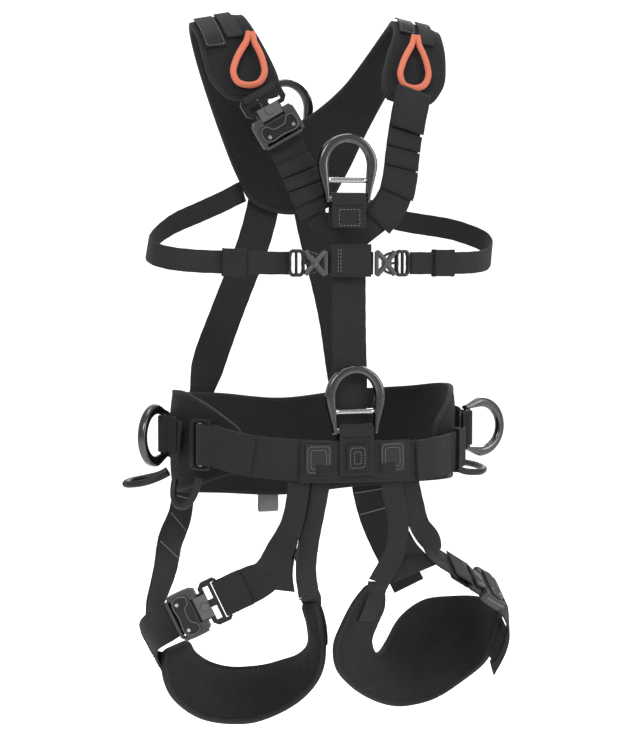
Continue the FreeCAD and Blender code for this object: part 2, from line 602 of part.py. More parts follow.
def panel_shape(edges, count, columns, thickness, crown=0.0):
    """A sheet between two edge curves that thickens by crown from its edges to the middle."""
    grid = [[a + (b - a) * (j / (columns - 1)) for j in range(columns)]
            for a, b in zip(*paired(*edges, count))]
    rows = []
    for i, points in enumerate(grid):
        row = []
        for j, point in enumerate(points):
            along = unit(grid[min(i + 1, count - 1)][j] - grid[max(i - 1, 0)][j])
            across = unit(points[-1] - points[0])
            u = 2.0 * j / (columns - 1) - 1.0
            v = 2.0 * i / (count - 1) - 1.0
            half_thickness = (thickness + crown * (1 - u ** 4) * (1 - v ** 12)) / 2
            row.append((point, unit(across.cross(along)), half_thickness))
        rows.append(row)
    return sheet_solid(rows)


def padding(label, edges, count, thickness):
    """A crowned pad of the given middle thickness."""
    edge = size("pad_edge")
    publish(cloth(label, panel_shape(edges, count, 5, edge, size(thickness) - edge)))


# ---- attachment rings ---------------------------------------------------------------------------
def attachment_ring(label, leg, drop, cross_bar):
    """Horseshoe in its XZ plane: seat arc centred on the origin, base bar below, open foot."""
    body = new_body(label)
    sketch = new_sketch(body, label + "_profile", "XZ_Plane")
    outer, neck, belly = cell("ring_outer_radius"), cell("ring_neck"), cell("ring_belly")
    seat_x = cell("ring_seat_radius", math.cos(math.radians(30)))
    seat_y = cell("ring_seat_radius", 0.5)
    foot = cell(leg, -1)
    points = [
        (negate(outer), foot), (negate(outer), CROWN_Z), (outer, CROWN_Z), (outer, foot),
        (neck, foot), (belly, BELLY_Z), (seat_x, seat_y),
        (negate(seat_x), seat_y), (negate(belly), BELLY_Z), (negate(neck), foot),
    ]
    corners = [Vector(value(x), value(y), 0) for x, y in points]
    arc_tops = {1: CROWN_Z + value(outer), 6: size("ring_seat_radius")}
    for i, (a, b) in enumerate(zip(corners, corners[1:] + corners[:1])):
        if i in arc_tops:
            sketch.addGeometry(Part.Arc(a, Vector(0, arc_tops[i], 0), b), False)
        else:
            sketch.addGeometry(Part.LineSegment(a, b), False)

    def start(i):
        # a sketch arc runs counter-clockwise, so the ends of the clockwise outer arc swap
        return 2 if i == 1 else 1

    count = len(points)
    for i in range(count):
        following = (i + 1) % count
        sketch.addConstraint(
            Sketcher.Constraint("Coincident", i, 3 - start(i), following, start(following)))
    for i, (x, y) in enumerate(points):
        pin_point(sketch, i, start(i), x, y)
    for arc, centre_z in ((1, CROWN_Z), (6, 0.0)):
        constrain(sketch, "DistanceY", -1, 1, arc, 3, centre_z)
    doc.recompute()
    horseshoe = pad(body, sketch, cell("ring_thickness"), label + "_forging")

    def on_outer_rim(edge):
        middle = edge.valueAt((edge.FirstParameter + edge.LastParameter) / 2)
        radius = size("ring_outer_radius")
        if abs(abs(middle.y) - size("ring_thickness") / 2) > 0.01:
            return False
        on_arc = abs(math.hypot(middle.x, middle.z - CROWN_Z) - radius) < 0.05
        return abs(abs(middle.x) - radius) < 0.01 or (middle.z > CROWN_Z and on_arc)

    rim = ["Edge%d" % i for i, e in enumerate(horseshoe.Shape.Edges, 1) if on_outer_rim(e)]
    fillet = body.newObject("PartDesign::Fillet", label + "_rounding")
    fillet.Base = (horseshoe, rim)
    bind(fillet, "Radius", cell("ring_edge_round"))
    doc.recompute()

    sketch = disc_sketch(body, label + "_bar_section", [(0.0, cell(drop, -1))],
                         cell("ring_bar_radius"), "YZ_Plane")
    pad(body, sketch, cell("ring_neck", 2, 6), label + "_base_bar")
    if cross_bar:
        sketch = disc_sketch(body, label + "_cross_section", [(0.0, cell("cross_bar_drop", -1))],
                             cell("cross_bar_radius"), "YZ_Plane")
        pad(body, sketch, cell("ring_belly", 2, 4), label + "_cross_bar")
    publish(body)
    return body


def hip_point(theta, offset, z):
    """Point off the waist ellipse at theta degrees from the front, and its outward normal."""
    a, b = size("waist_half_width"), size("waist_half_depth")
    t = math.radians(theta)
    out = unit(Vector(b * math.sin(t), -a * math.cos(t), 0))
    point = Vector(a * math.sin(t), b + WAIST_FRONT_Y - b * math.cos(t), z)
    return point + out * offset, out


def hip_ring(side, theta, z, swing, lay):
    body = attachment_ring("lateral_ring_" + side, "hip_ring_leg", "hip_bar_drop", False)
    bar_centre, out = hip_point(theta, lay + HIP_BAR_OFF, z)
    # local X runs up, local Z points away from the hip
    up = Vector(0, 0, 1)
    away = Rotation(up, swing).multVec(out)
    body.Placement = Placement(bar_centre + away * size("hip_bar_drop"),
                               Rotation(up, away.cross(up), away, "XYZ"))


def u_loop(label, width, inner_radius, minus_leg, plus_leg):
    """Webbing round a bar along X: the bend is on top, the legs hang at -Y and +Y."""
    body = new_body(label)
    sketch = new_sketch(body, label + "_section", "YZ_Plane")
    ri = value(inner_radius)
    ro = ri + size("webbing_thickness")

    def line(x0, y0, x1, y1):
        sketch.addGeometry(Part.LineSegment(Vector(x0, y0, 0), Vector(x1, y1, 0)), False)

    def arc(r):
        sketch.addGeometry(Part.Arc(Vector(-r, 0, 0), Vector(0, r, 0), Vector(r, 0, 0)), False)

    arc(ro)
    line(ro, 0, ro, -plus_leg)
    line(ro, -plus_leg, ri, -plus_leg)
    line(ri, -plus_leg, ri, 0)
    arc(ri)
    line(-ri, 0, -ri, -minus_leg)
    line(-ri, -minus_leg, -ro, -minus_leg)
    line(-ro, -minus_leg, -ro, 0)
    # both arcs run counter-clockwise, from the +Y end to the -Y end
    joins = [(0, 1, 1, 1)] + [(i, 2, i + 1, 1) for i in range(1, 7)] + [(7, 2, 0, 2)]
    for join in joins:
        sketch.addConstraint(Sketcher.Constraint("Coincident", *join))
    for i in (0, 4):
        sketch.addConstraint(Sketcher.Constraint("Coincident", i, 3, -1, 1))
    for i in (1, 3, 5, 7):
        sketch.addConstraint(Sketcher.Constraint("Vertical", i))
    for i in (2, 6):
        sketch.addConstraint(Sketcher.Constraint("Horizontal", i))
    for i, leg in ((1, plus_leg), (5, minus_leg)):
        sketch.addConstraint(Sketcher.Constraint("DistanceY", i, 2, i, 1, leg))
    constrain(sketch, "Radius", 4, inner_radius)
    index = sketch.addConstraint(Sketcher.Constraint("Radius", 0, ro))
    sketch.setExpression("Constraints[%d]" % index,
                         formula(inner_radius) + " + sizes.webbing_thickness")
    for i in (0, 4):
        for end in (1, 2):
            sketch.addConstraint(Sketcher.Constraint("PointOnObject", i, end, -1))
    doc.recompute()
    pad(body, sketch, width, label + "_webbing")
    publish(body)
    return body


for label, seat, minus_leg, plus_leg, cross_bar in CENTRE_RINGS:
    ring = attachment_ring(label, "ring_leg", "ring_bar_drop", cross_bar)
    ring.Placement = Placement(Vector(*seat), Rotation())
    loop = u_loop(label + "_loop", cell("body_strap_width"),
                  cell("ring_bar_radius", 1, BAR_GAP), minus_leg, plus_leg)
    loop.Placement = Placement(Vector(*seat) - Vector(0, 0, size("ring_bar_drop")), Rotation())
for entry in HIP_RINGS:
    hip_ring(*entry)

# ---- quick buckles: local +Y towards the frame, local +Z outwards, mouth at y = 0 ---------------
RIVET_PLACES = [(-15.0, -22.5), (15.0, -22.5)]
RIVET_HOLE = cell("rivet_radius", 1, 0.05)
LEVER_Z = 3.8               # middle of the lever's thickness
PIVOT = (-3.5, LEVER_Z)     # lever pivot, y and z
FRAME_BAR_Y = 24.5          # bar of the frame that carries the webbing


def buckle_body(name, pose):
    body = new_body(name + "_body")
    sketch = mirrored_sketch(body, name + "_plan", [
        (half("buckle_width", 5), cell("buckle_length", -1)),
        (half("buckle_width"), cell("buckle_length", -1, 5)),
        (half("buckle_width"), -6.0), (half("buckle_width", 3), 0.0)])
    pad(body, sketch, cell("buckle_depth"), name + "_block")
    sketch = box_sketch(body, name + "_mouth",
                        [(*sides("cavity_width"), *sides("cavity_depth"))], "XZ_Plane")
    pocket(body, sketch, cell("cavity_length", 2), name + "_cavity")
    sketch = box_sketch(body, name + "_slot", [
        (*sides("body_strap_width", -1.2),
         cell("buckle_length", -1, 3), cell("buckle_length", -1, 6.2))])
    pocket(body, sketch, cell("buckle_depth", 2), name + "_strap_slot")
    sketch = box_sketch(body, name + "_recess",
                        [(*sides("lever_width", -0.6), -8.0, 1.0)], offset=5.0)
    pocket(body, sketch, 6.2, name + "_lever_recess")
    hole = cell("trunnion_radius", 1, size("trunnion_clearance"))
    sketch = disc_sketch(body, name + "_pivot", [PIVOT], hole, "YZ_Plane")
    pocket(body, sketch, cell("lever_width", 1, 6), name + "_pivot_holes")
    sketch = disc_sketch(body, name + "_rivet_plan", RIVET_PLACES, RIVET_HOLE)
    pocket(body, sketch, cell("buckle_depth", 2), name + "_rivet_holes")
    body.Placement = pose
    publish(body)


def buckle_cover(name, pose):
    cover = new_body(name + "_cover")
    sketch = mirrored_sketch(cover, name + "_cover_plan", [
        (half("cover_width", 3), -27.2), (half("cover_width"), -24.0),
        (half("cover_width"), cell("cover_length", 1, -26.2)),
    ], offset=cell("buckle_depth", 0.5, size("cover_depth") / 2 + 0.04))
    pad(cover, sketch, cell("cover_depth"), name + "_cover_plate")
    sketch = disc_sketch(cover, name + "_cover_holes", RIVET_PLACES, RIVET_HOLE)
    pocket(cover, sketch, cell("buckle_depth", 3), name + "_cover_rivet_holes")
    cover.Placement = pose
    return cover


def buckle_rivets(name, pose):
    pins = []
    for i, (x, y) in enumerate(RIVET_PLACES, 1):
        pin = new_object("Part::Cylinder", "%s_rivet_%d" % (name, i))
        pin.setExpression("Radius", "sizes.rivet_radius")
        pin.setExpression("Height", "sizes.buckle_depth + sizes.cover_depth + sizes.rivet_head")
        foot = Vector(x, y, -size("buckle_depth") / 2)
        pin.Placement = pose.multiply(Placement(foot, Rotation()))
        pins.append(pin)
    return pins


def buckle_latch(name, pose):
    lever = new_body(name + "_latch")
    sketch = box_sketch(lever, name + "_lever_plan",
                        [(*sides("lever_width"), -5.0, cell("lever_length", 1, -5))],
                        offset=LEVER_Z)
    pad(lever, sketch, cell("lever_depth"), name + "_lever_plate")
    sketch = disc_sketch(lever, name + "_trunnion", [PIVOT], cell("trunnion_radius"), "YZ_Plane")
    pad(lever, sketch, cell("lever_width", 1, 5), name + "_trunnions")
    sketch = disc_sketch(lever, name + "_boss_plan", [(0.0, 3.6)], cell("boss_radius"),
                         offset=5.2)
    pad(lever, sketch, 3.2, name + "_boss")
    lever.Placement = pose
    publish(lever)


def buckle_frame(name, pose):
    frame = new_body(name + "_frame")
    sketch = mirrored_sketch(frame, name + "_frame_plan", [
        (half("tongue_width"), cell("tongue_length", -1)), (half("tongue_width"), 4.0),
        (half("frame_width", 5), 4.0), (half("frame_width"), 9.0),
        (half("frame_width"), cell("frame_length", 1, 1)),
        (half("frame_width", 3), cell("frame_length", 1, 4))])
    pad(frame, sketch, cell("frame_depth"), name + "_frame_plate")
    sketch = box_sketch(frame, name + "_windows", [
        (*sides("body_strap_width", -1), 19.0, 23.0),
        (-19.0, -4.0, 9.0, 15.5), (4.0, 19.0, 9.0, 15.5)])
    pocket(frame, sketch, cell("frame_depth", 3), name + "_frame_windows")
    sketch = box_sketch(frame, name + "_tongue_windows", [(-8.0, 8.0, -11.0, -5.5)])
    pocket(frame, sketch, cell("frame_depth", 3), name + "_catch_window")
    # thin the tongue on both faces
    for plan, cut, z in (("_tongue_thinning", "_tongue_top", 3.0),
                         ("_tongue_back", "_tongue_under", -3.0)):
        sketch = box_sketch(frame, name + plan, [(-30.0, 30.0, -40.0, 3.0)], offset=z)
        pocket(frame, sketch, cell("tongue_depth", -1, 6), name + cut)
    frame.Placement = pose
    publish(frame)


def frame_loop(name, pose, leg):
    loop = u_loop(name + "_frame_loop", cell("body_strap_width"),
                  cell("frame_depth", 0.5, BAR_GAP), leg, leg)
    # the bend faces the buckle, the legs run on along the strap
    turn = Placement(Vector(0, FRAME_BAR_Y, 0), Rotation(Vector(1, 0, 0), 90))
    loop.Placement = pose.multiply(turn)


covers, rivets = [], []
for name, (origin, along, out, leg) in BUCKLES.items():
    pose = pose_at(origin, along, out)
    buckle_body(name, pose)
    covers.append(buckle_cover(name, pose))
    rivets += buckle_rivets(name, pose)
    buckle_latch(name, pose)
    buckle_frame(name, pose)
    frame_loop(name, pose, leg)
group("buckle_covers", covers)
group("buckle_rivets", rivets)


# ---- chest side-release buckles: local +Y away from the breastbone ------------------------------
def chest_socket(name, pose):
    socket = new_body(name)
    back = cell("side_buckle_length", -1)
    sketch = mirrored_sketch(socket, name + "_plan", [
        (half("side_buckle_width", 2), back),
        (half("side_buckle_width"), cell("side_buckle_length", -1, 5)),
        (half("side_buckle_width", 1.2), -10.0), (half("side_buckle_width"), 0.0)])
    pad(socket, sketch, cell("side_buckle_depth"), name + "_block")
    sketch = box_sketch(socket, name + "_mouth", [(-12.4, 12.4, -2.5, 2.5)], "XZ_Plane")
    pocket(socket, sketch, 35.0, name + "_cavity")
    sketch = box_sketch(socket, name + "_sides", [(-20.0, 20.0, -12.0, -5.0)])
    pocket(socket, sketch, 5.0, name + "_side_windows")
    sketch = box_sketch(socket, name + "_slot", [
        (*sides("chest_width", -0.6),
         cell("side_buckle_length", -1, 2), cell("side_buckle_length", -1, 5))])
    pocket(socket, sketch, 30.0, name + "_webbing_slot")
    # X-shaped window in the outer face
    sketch = mirrored_sketch(socket, name + "_window", [
        (2.5, -10.5), (7.0, -15.0), (9.0, -13.0), (5.5, -9.0), (9.0, -5.0), (7.0, -3.0),
        (2.5, -7.5)], offset=5.0)
    pocket(socket, sketch, 7.0, name + "_front_window")
    socket.Placement = pose
    return socket


def chest_plug(name, pose):
    plug = new_body(name)
    sketch = mirrored_sketch(plug, name + "_plan", [
        (half("side_buckle_width"), 1.0), (half("side_buckle_width"), cell("plug_length", 1, -2)),
        (half("side_buckle_width", 2), cell("plug_length", 1, 1))])
    pad(plug, sketch, cell("side_buckle_depth", 1, -1.4), name + "_ladder")
    sketch = box_sketch(plug, name + "_slots", [
        (*sides("chest_width", -0.6), y, y + size("ladder_slot")) for y in (5.0, 12.0)])
    pocket(plug, sketch, 30.0, name + "_ladder_slots")
    arms = [(-12.0, cell("arm_width", 1, -12)), (cell("arm_width", -1, 12), 12.0), (-1.6, 1.6)]
    sketch = box_sketch(plug, name + "_arm_plan",
                        [(x0, x1, cell("arm_length", -1, 1), 1.5) for x0, x1 in arms])
    pad(plug, sketch, cell("arm_depth"), name + "_arms")
    plug.Placement = pose
    publish(plug)


sockets = []
for side, *axes in CHEST_BUCKLES:
    sockets.append(chest_socket("chest_socket_" + side, pose_at(*axes)))
    chest_plug("chest_plug_" + side, pose_at(*axes))
group("chest_buckle_sockets", sockets)

# ---- webbing keepers: flat bands round a strap --------------------------------------------------
KEEPER_WALL = 1.4


def webbing_keeper(label, stem, width, inset, length, axes):
    """A band whose outside is the width alias drawn in by inset; stem names its features."""
    body = new_body(label)
    sketch = box_sketch(body, stem + "_section",
                        [(*sides(width, inset), *sides("keeper_depth"))], "XZ_Plane")
    pad(body, sketch, length, stem + "_band")
    inside = (*sides(width, inset + KEEPER_WALL), *sides("keeper_depth", KEEPER_WALL))
    sketch = box_sketch(body, stem + "_opening", [inside], "XZ_Plane")
    pocket(body, sketch, 40.0, stem + "_through")
    body.Placement = pose_at(*axes)
    publish(body)


for side, *axes in CHEST_KEEPERS:
    stem = "chest_keeper_" + side
    webbing_keeper(stem, stem, "keeper_width", 0.0, 26.0, axes)
webbing_keeper("belt_keeper_right", "belt_keeper", "belt_width", -2.6, 11.0, BELT_KEEPER)


# ---- hip adjuster: a windowed plate with a round bar across it ----------------------------------
def hip_adjuster():
    frame = new_body("hip_adjuster_frame")
    sketch = mirrored_sketch(frame, "adjuster_plan", [
        (half("adjuster_width"), cell("adjuster_length", -0.5)),
        (half("adjuster_width"), half("adjuster_length", 3)),
        (half("adjuster_width", 3), half("adjuster_length"))])
    pad(frame, sketch, cell("adjuster_depth"), "adjuster_plate")
    sketch = box_sketch(frame, "adjuster_window", [(*sides("belt_width", -1.5), -9.5, 8.0)])
    pocket(frame, sketch, 20.0, "adjuster_opening")
    rod = new_body("hip_adjuster_bar")
    sketch = disc_sketch(rod, "adjuster_bar_section", [(0.0, 0.0)],
                         cell("adjuster_bar_radius"), "YZ_Plane")
    pad(rod, sketch, cell("belt_width", 1, 2.6), "adjuster_bar_rod")
    for body in (frame, rod):
        body.Placement = pose_at(*ADJUSTER)
        publish(body)


hip_adjuster()


# ---- straps, sleeves and patches ----------------------------------------------------------------
def strap(label):
    width, path = STRAPS[label]
    return cloth(label, strap_shape(path, size(width), size("webbing_thickness")))


for label in SINGLE_STRAPS:
    publish(strap(label))
for label, members in STRAP_GROUPS.items():
    group(label, [strap(member) for member in members])

group("strap_sleeves", [
    cloth("%s_sleeve_%d" % (label, i),
          strap_overlay(STRAPS[label][1], start, end, offset=3.2,
                        width=size("body_strap_width") + 2.4, thickness=1.6))
    for label, spans in SLEEVES.items() for i, (start, end) in enumerate(spans, 1)])
publish(cloth("shoulder_cover_right", strap_overlay(
    STRAPS["shoulder_strap_right"][1], 0.0, 0.3, offset=6.4, width=42.0, thickness=2.0)))
publish(cloth("chest_center_loop", strap_shape(CENTRE_LOOP, width=36.0, thickness=1.8)))
publish(cloth("belt_front_panel", strap_shape(
    FRONT_PANEL, size("belt_width"), size("webbing_thickness"), 12)))
group("front_label_patches", [
    cloth("front_patch_%d" % i, strap_shape(path, width, size("label_thickness"), 8))
    for i, (path, width) in enumerate(PATCHES, 1)])

# ---- gussets and pads ---------------------------------------------------------------------------
publish(cloth("sternal_gusset", panel_shape(STERNAL_GUSSET, 10, 3, thickness=2.0)))
group("leg_gussets", [cloth("leg_gusset_" + side, panel_shape(edges, 10, 3, thickness=1.6))
                      for side, edges in LEG_GUSSETS.items()])

YOKE_EDGES = [[[-x, y, z] for x, y, z in reversed(edge[1:])] + edge
              for edge in (YOKE_INNER_HALF, YOKE_OUTER_HALF)]
padding("shoulder_yoke_pad", YOKE_EDGES, 71, "pad_thickness")
for side, edges in LEG_PADS.items():
    padding("leg_pad_" + side, edges, 45, "pad_thickness")


def waist_edges():
    top, bottom = [], []
    for theta, top_z, bottom_z in WAIST:
        point, _ = hip_point(theta, -size("waist_pad_thickness") / 2 - 0.5, 0.0)
        top.append([point.x, point.y, top_z])
        bottom.append([point.x, point.y, bottom_z])
    return top, bottom


padding("waist_pad", waist_edges(), 91, "waist_pad_thickness")

# ---- patches on the yoke ------------------------------------------------------------------------
yoke_inner, yoke_outer = paired(*YOKE_EDGES, 201)


def yoke_point(s, t):
    """Point at fraction s of the yoke's length and t of its width."""
    k = min(int(s * 200), 199)
    u = s * 200 - k
    inner = yoke_inner[k] + (yoke_inner[k + 1] - yoke_inner[k]) * u
    outer = yoke_outer[k] + (yoke_outer[k + 1] - yoke_outer[k]) * u
    return inner + (outer - inner) * t


def yoke_patch(s0, s1, t0, t1, offset, thickness):
    rows = []
    for i in range(9):
        row = []
        for j in range(3):
            s, t = s0 + (s1 - s0) * i / 8, t0 + (t1 - t0) * j / 2
            along = yoke_point(min(s + 0.004, 1), t) - yoke_point(max(s - 0.004, 0), t)
            across = yoke_point(s, min(t + 0.05, 1)) - yoke_point(s, max(t - 0.05, 0))
            normal = unit(across.cross(along))
            row.append((yoke_point(s, t) + normal * offset, normal, thickness / 2))
        rows.append(row)
    return sheet_solid(rows)


group("shoulder_labels", [
    cloth("shoulder_label_%d" % i, yoke_patch(*spot, size("label_thickness")))
    for i, spot in enumerate(LABELS, 1)])
group("lanyard_loop_keepers", [
    cloth("lanyard_keeper_%d" % i, yoke_patch(*spot, 1.6))
    for i, spot in enumerate(LOOP_KEEPERS, 1)])


# ---- cords and moulded loops --------------------------------------------------------------------
def tube(label, points, radius):
    """A round tube along a smooth curve."""
    curve = Part.BSplineCurve()
    curve.interpolate([Vector(*p) for p in points])
    tangent = curve.tangent(curve.FirstParameter)[0]
    section = Part.Face(Part.Wire([Part.makeCircle(radius, Vector(*points[0]), tangent)]))
    return cloth(label, Part.Wire([curve.toShape()]).makePipe(section))


for side, points in LANYARDS.items():
    publish(tube("lanyard_loop_" + side, points, size("lanyard_tube_radius")))
group("gear_loops", [tube("gear_loop_%d" % i, points, size("loop_tube_radius"))
                     for i, points in enumerate(GEAR_LOOPS, 1)])
# the accessory loop hangs with its bend at the bottom
accessory = u_loop("accessory_loop", 24.0, cell("webbing_thickness", 1, 0.6), 36, 36)
accessory.Placement = Placement(Vector(*ACCESSORY_LOOP), Rotation(Vector(1, 0, 0), 180))


# ---- ring holders: webbing that lies on the belt and arches over a hip ring's base bar ----------
def ring_holder(side, theta, z, lay):
    centre, out = hip_point(theta, 0.0, z)
    sideways = Vector(-out.y, out.x, 0)
    azimuth = math.degrees(math.atan2(out.x, -out.y))
    reach = size("ring_bar_radius") + BAR_GAP + size("webbing_thickness") / 2
    flat, rise = lay + 2.6, lay + HIP_BAR_OFF
    # sideways place, height off the waist ellipse, turn of the facing in degrees
    foot = [(18.0, flat, 0), (13.0, flat, 0), (9.6, flat + 0.5, 25), (6.4, flat + 2.4, 65)]
    profile = [(-u, height, -turn) for u, height, turn in foot]
    for degrees in range(180, -1, -30):
        a = math.radians(degrees)
        profile.append((reach * math.cos(a), rise + reach * math.sin(a), 90 - degrees))
    profile += reversed(foot)
    path = []
    for u, height, turn in profile:
        point = centre + sideways * u + out * height
        path.append([point.x, point.y, point.z, azimuth + turn, 0.0])
    return cloth("ring_holder_" + side, strap_shape(
        path, size("body_strap_width"), size("webbing_thickness"), 70))


group("ring_holders", [ring_holder(side, theta, z, lay)
                       for side, theta, z, _, lay in HIP_RINGS])

# ---- check and write ----------------------------------------------------------------------------
doc.recompute()
problems = []
for obj in doc.Objects:
    if "Invalid" in obj.State or "Error" in obj.State:
        problems.append("%s is %s" % (obj.Name, obj.State))
for label, obj in nodes.items():
    if obj.Shape.isNull():
        problems.append("%s has no shape" % label)
    elif not obj.Shape.isValid():
        problems.append("%s isn't valid" % label)
    elif obj.Shape.Volume < 1.0 or not obj.Shape.Solids:
        problems.append("%s has no volume" % label)
if problems:
    raise SystemExit("\n".join(problems))
os.makedirs("parts", exist_ok=True)
for label, obj in sorted(nodes.items()):
    obj.Shape.exportStep(os.path.join("parts", label + ".step"))
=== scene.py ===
"""Tree climbing harness: webbing, padding, forged rings and buckles.

Sizes are in millimetres and are scaled to metres as meshes are built. +Z is up and the wearer
faces -Y. The origin is the seat of the ventral ring. "left" in a name is the -X side, "right" +X.
"""
import bpy
import bmesh
import math
import random
from collections import namedtuple
from mathutils import Matrix, Vector


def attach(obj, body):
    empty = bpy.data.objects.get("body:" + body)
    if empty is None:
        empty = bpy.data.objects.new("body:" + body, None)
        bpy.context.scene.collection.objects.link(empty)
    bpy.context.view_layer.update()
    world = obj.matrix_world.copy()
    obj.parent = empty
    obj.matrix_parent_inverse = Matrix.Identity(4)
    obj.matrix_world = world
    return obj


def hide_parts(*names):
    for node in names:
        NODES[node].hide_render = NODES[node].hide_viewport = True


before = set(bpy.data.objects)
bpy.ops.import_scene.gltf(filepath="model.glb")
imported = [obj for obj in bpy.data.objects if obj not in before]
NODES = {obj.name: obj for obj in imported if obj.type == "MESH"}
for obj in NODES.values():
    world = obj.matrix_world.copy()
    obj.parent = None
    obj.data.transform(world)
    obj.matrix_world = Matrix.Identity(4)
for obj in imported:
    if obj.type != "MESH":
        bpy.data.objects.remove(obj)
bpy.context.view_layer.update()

MM = 0.001
ROOT = "harness"                # the body that most pieces ride on
WEBBING = "black_webbing"       # slot names
LABEL_CLOTH = "label_cloth"
SIDES = ("left", "right")

WEB = 1.8                       # webbing thickness
WIDE, NARROW, BELT = 40.0, 25.0, 45.0   # webbing widths
STITCH_PITCH, STITCH_LENGTH, STITCH_WIDTH = 3.6, 2.6, 0.85
rng = random.Random(11)         # wander of the stitches


# ---- vectors and curves ------------------------------------------------------------------------
def sub(a, b):
    return [x - y for x, y in zip(a, b)]


def add(point, direction, amount=1.0):
    return [x + amount * y for x, y in zip(point, direction)]


def dot(a, b):
    return sum(x * y for x, y in zip(a, b))


def cross(a, b):
    return [a[1] * b[2] - a[2] * b[1], a[2] * b[0] - a[0] * b[2], a[0] * b[1] - a[1] * b[0]]


def scaled(vector, factor):
    return [factor * x for x in vector]


def norm(vector):
    return math.sqrt(dot(vector, vector))


def unit(vector):
    size = norm(vector) or 1.0
    return [x / size for x in vector]


def blend(a, b, fraction):
    return [x + (y - x) * fraction for x, y in zip(a, b)]


def signed_power(value, exponent):
    """Turns a circle's sine or cosine into a rounded rectangle's."""
    return abs(value) ** exponent * (1 if value >= 0 else -1)


def run_lengths(points):
    """Distance along a polyline at each of its points."""
    runs = [0.0]
    for a, b in zip(points, points[1:]):
        runs.append(runs[-1] + math.dist(a, b))
    return runs


def locate(stations, distance):
    """The interval that holds a distance, and the fraction of the way across it."""
    i = 0
    while i < len(stations) - 2 and stations[i + 1] < distance:
        i += 1
    return i, (distance - stations[i]) / max(stations[i + 1] - stations[i], 1e-9)


def smooth(rows, count, closed=False):
    """Rows spaced along a smooth curve; distance is read from each row's first three numbers."""
    if closed:
        rows = list(rows) + [rows[0]]
    last = len(rows) - 1
    stations = [0.0]
    for a, b in zip(rows, rows[1:]):
        stations.append(stations[-1] + max(norm(sub(b[:3], a[:3])), 1e-6))
    gaps = [b - a for a, b in zip(stations, stations[1:])]
    slopes = []
    for i in range(last + 1):
        if closed or 0 < i < last:
            before, after = gaps[i - 1], gaps[i % last]
            slopes.append([
                ((y - x) / before * after + (z - y) / after * before) / (before + after)
                for x, y, z in zip(rows[(i - 1) % last], rows[i], rows[i % last + 1])])
        else:
            j = min(i, last - 1)
            slopes.append([(y - x) / gaps[j] for x, y in zip(rows[j], rows[j + 1])])
    out = []
    for k in range(count):
        i, u = locate(stations, stations[-1] * k / (count - 1))
        gap = gaps[i]
        # cubic Hermite weights
        start, start_slope = 2 * u**3 - 3 * u * u + 1, u**3 - 2 * u * u + u
        end, end_slope = -2 * u**3 + 3 * u * u, u**3 - u * u
        out.append([start * a + start_slope * gap * slope_a + end * b + end_slope * gap * slope_b
                    for a, slope_a, b, slope_b
                    in zip(rows[i], slopes[i], rows[i + 1], slopes[i + 1])])
    return out


def facing(azimuth, elevation):
    """Unit vector turned from the front (-Y) towards +X, then up; both in degrees."""
    turn, rise = math.radians(azimuth), math.radians(elevation)
    return [math.sin(turn) * math.cos(rise), -math.cos(turn) * math.cos(rise), math.sin(rise)]


def placer(origin, x, y, z):
    """A function that takes local coordinates to the harness's own."""
    return lambda p: add(add(add(origin, x, p[0]), y, p[1]), z, p[2])


def local_axes(origin, along, out):
    """Local Y runs along and local Z close to out."""
    y = unit(along)
    x = unit(cross(y, out))
    z = cross(x, y)
    return placer(origin, x, y, z), x, y, z


# ---- bands: a strap's centre line and the way it faces -----------------------------------------
Frame = namedtuple("Frame", "centre along across out width")


class Band:
    """A strap's frames. A station is a distance along it, an offset one across it."""

    def __init__(self, frames):
        self.frames = frames
        self.stations = run_lengths([f.centre for f in frames])
        self.length = self.stations[-1]

    def at(self, station, offset=0.0, lift=0.0):
        i, k = locate(self.stations, min(max(station, 0.0), self.length))
        a, b = self.frames[i], self.frames[i + 1]
        across = unit(blend(a.across, b.across, k))
        out = unit(blend(a.out, b.out, k))
        centre = add(add(blend(a.centre, b.centre, k), across, offset), out, lift)
        width = a.width + (b.width - a.width) * k
        return Frame(centre, unit(blend(a.along, b.along, k)), across, out, width)

    def nearest(self, point):
        return min((math.dist(f.centre, point), s) for f, s in zip(self.frames, self.stations))[1]

    def part(self, start, end, width, lift=0.0, count=None):
        count = count or max(6, int(abs(end - start) / 3.0))
        return Band([self.at(start + (end - start) * i / (count - 1), 0.0, lift)
                     ._replace(width=width) for i in range(count)])


def path_band(path, width, count=None):
    """Band through rows of x, y, z, facing azimuth, facing elevation and perhaps width factor."""
    if count is None:
        rough = sum(math.dist(a[:3], b[:3]) for a, b in zip(path, path[1:]))
        count = max(16, int(rough / 3.5))
    rows = smooth([list(r[:3]) + facing(r[3], r[4]) + [r[5] if len(r) > 5 else 1.0]
                   for r in path], count)
    frames = []
    for i, row in enumerate(rows):
        before, after = rows[max(i - 1, 0)], rows[min(i + 1, count - 1)]
        along = unit(sub(after[:3], before[:3]))
        across = unit(cross(along, row[3:6]))
        frames.append(Frame(row[:3], along, across, unit(cross(across, along)), width * row[6]))
    return Band(frames)


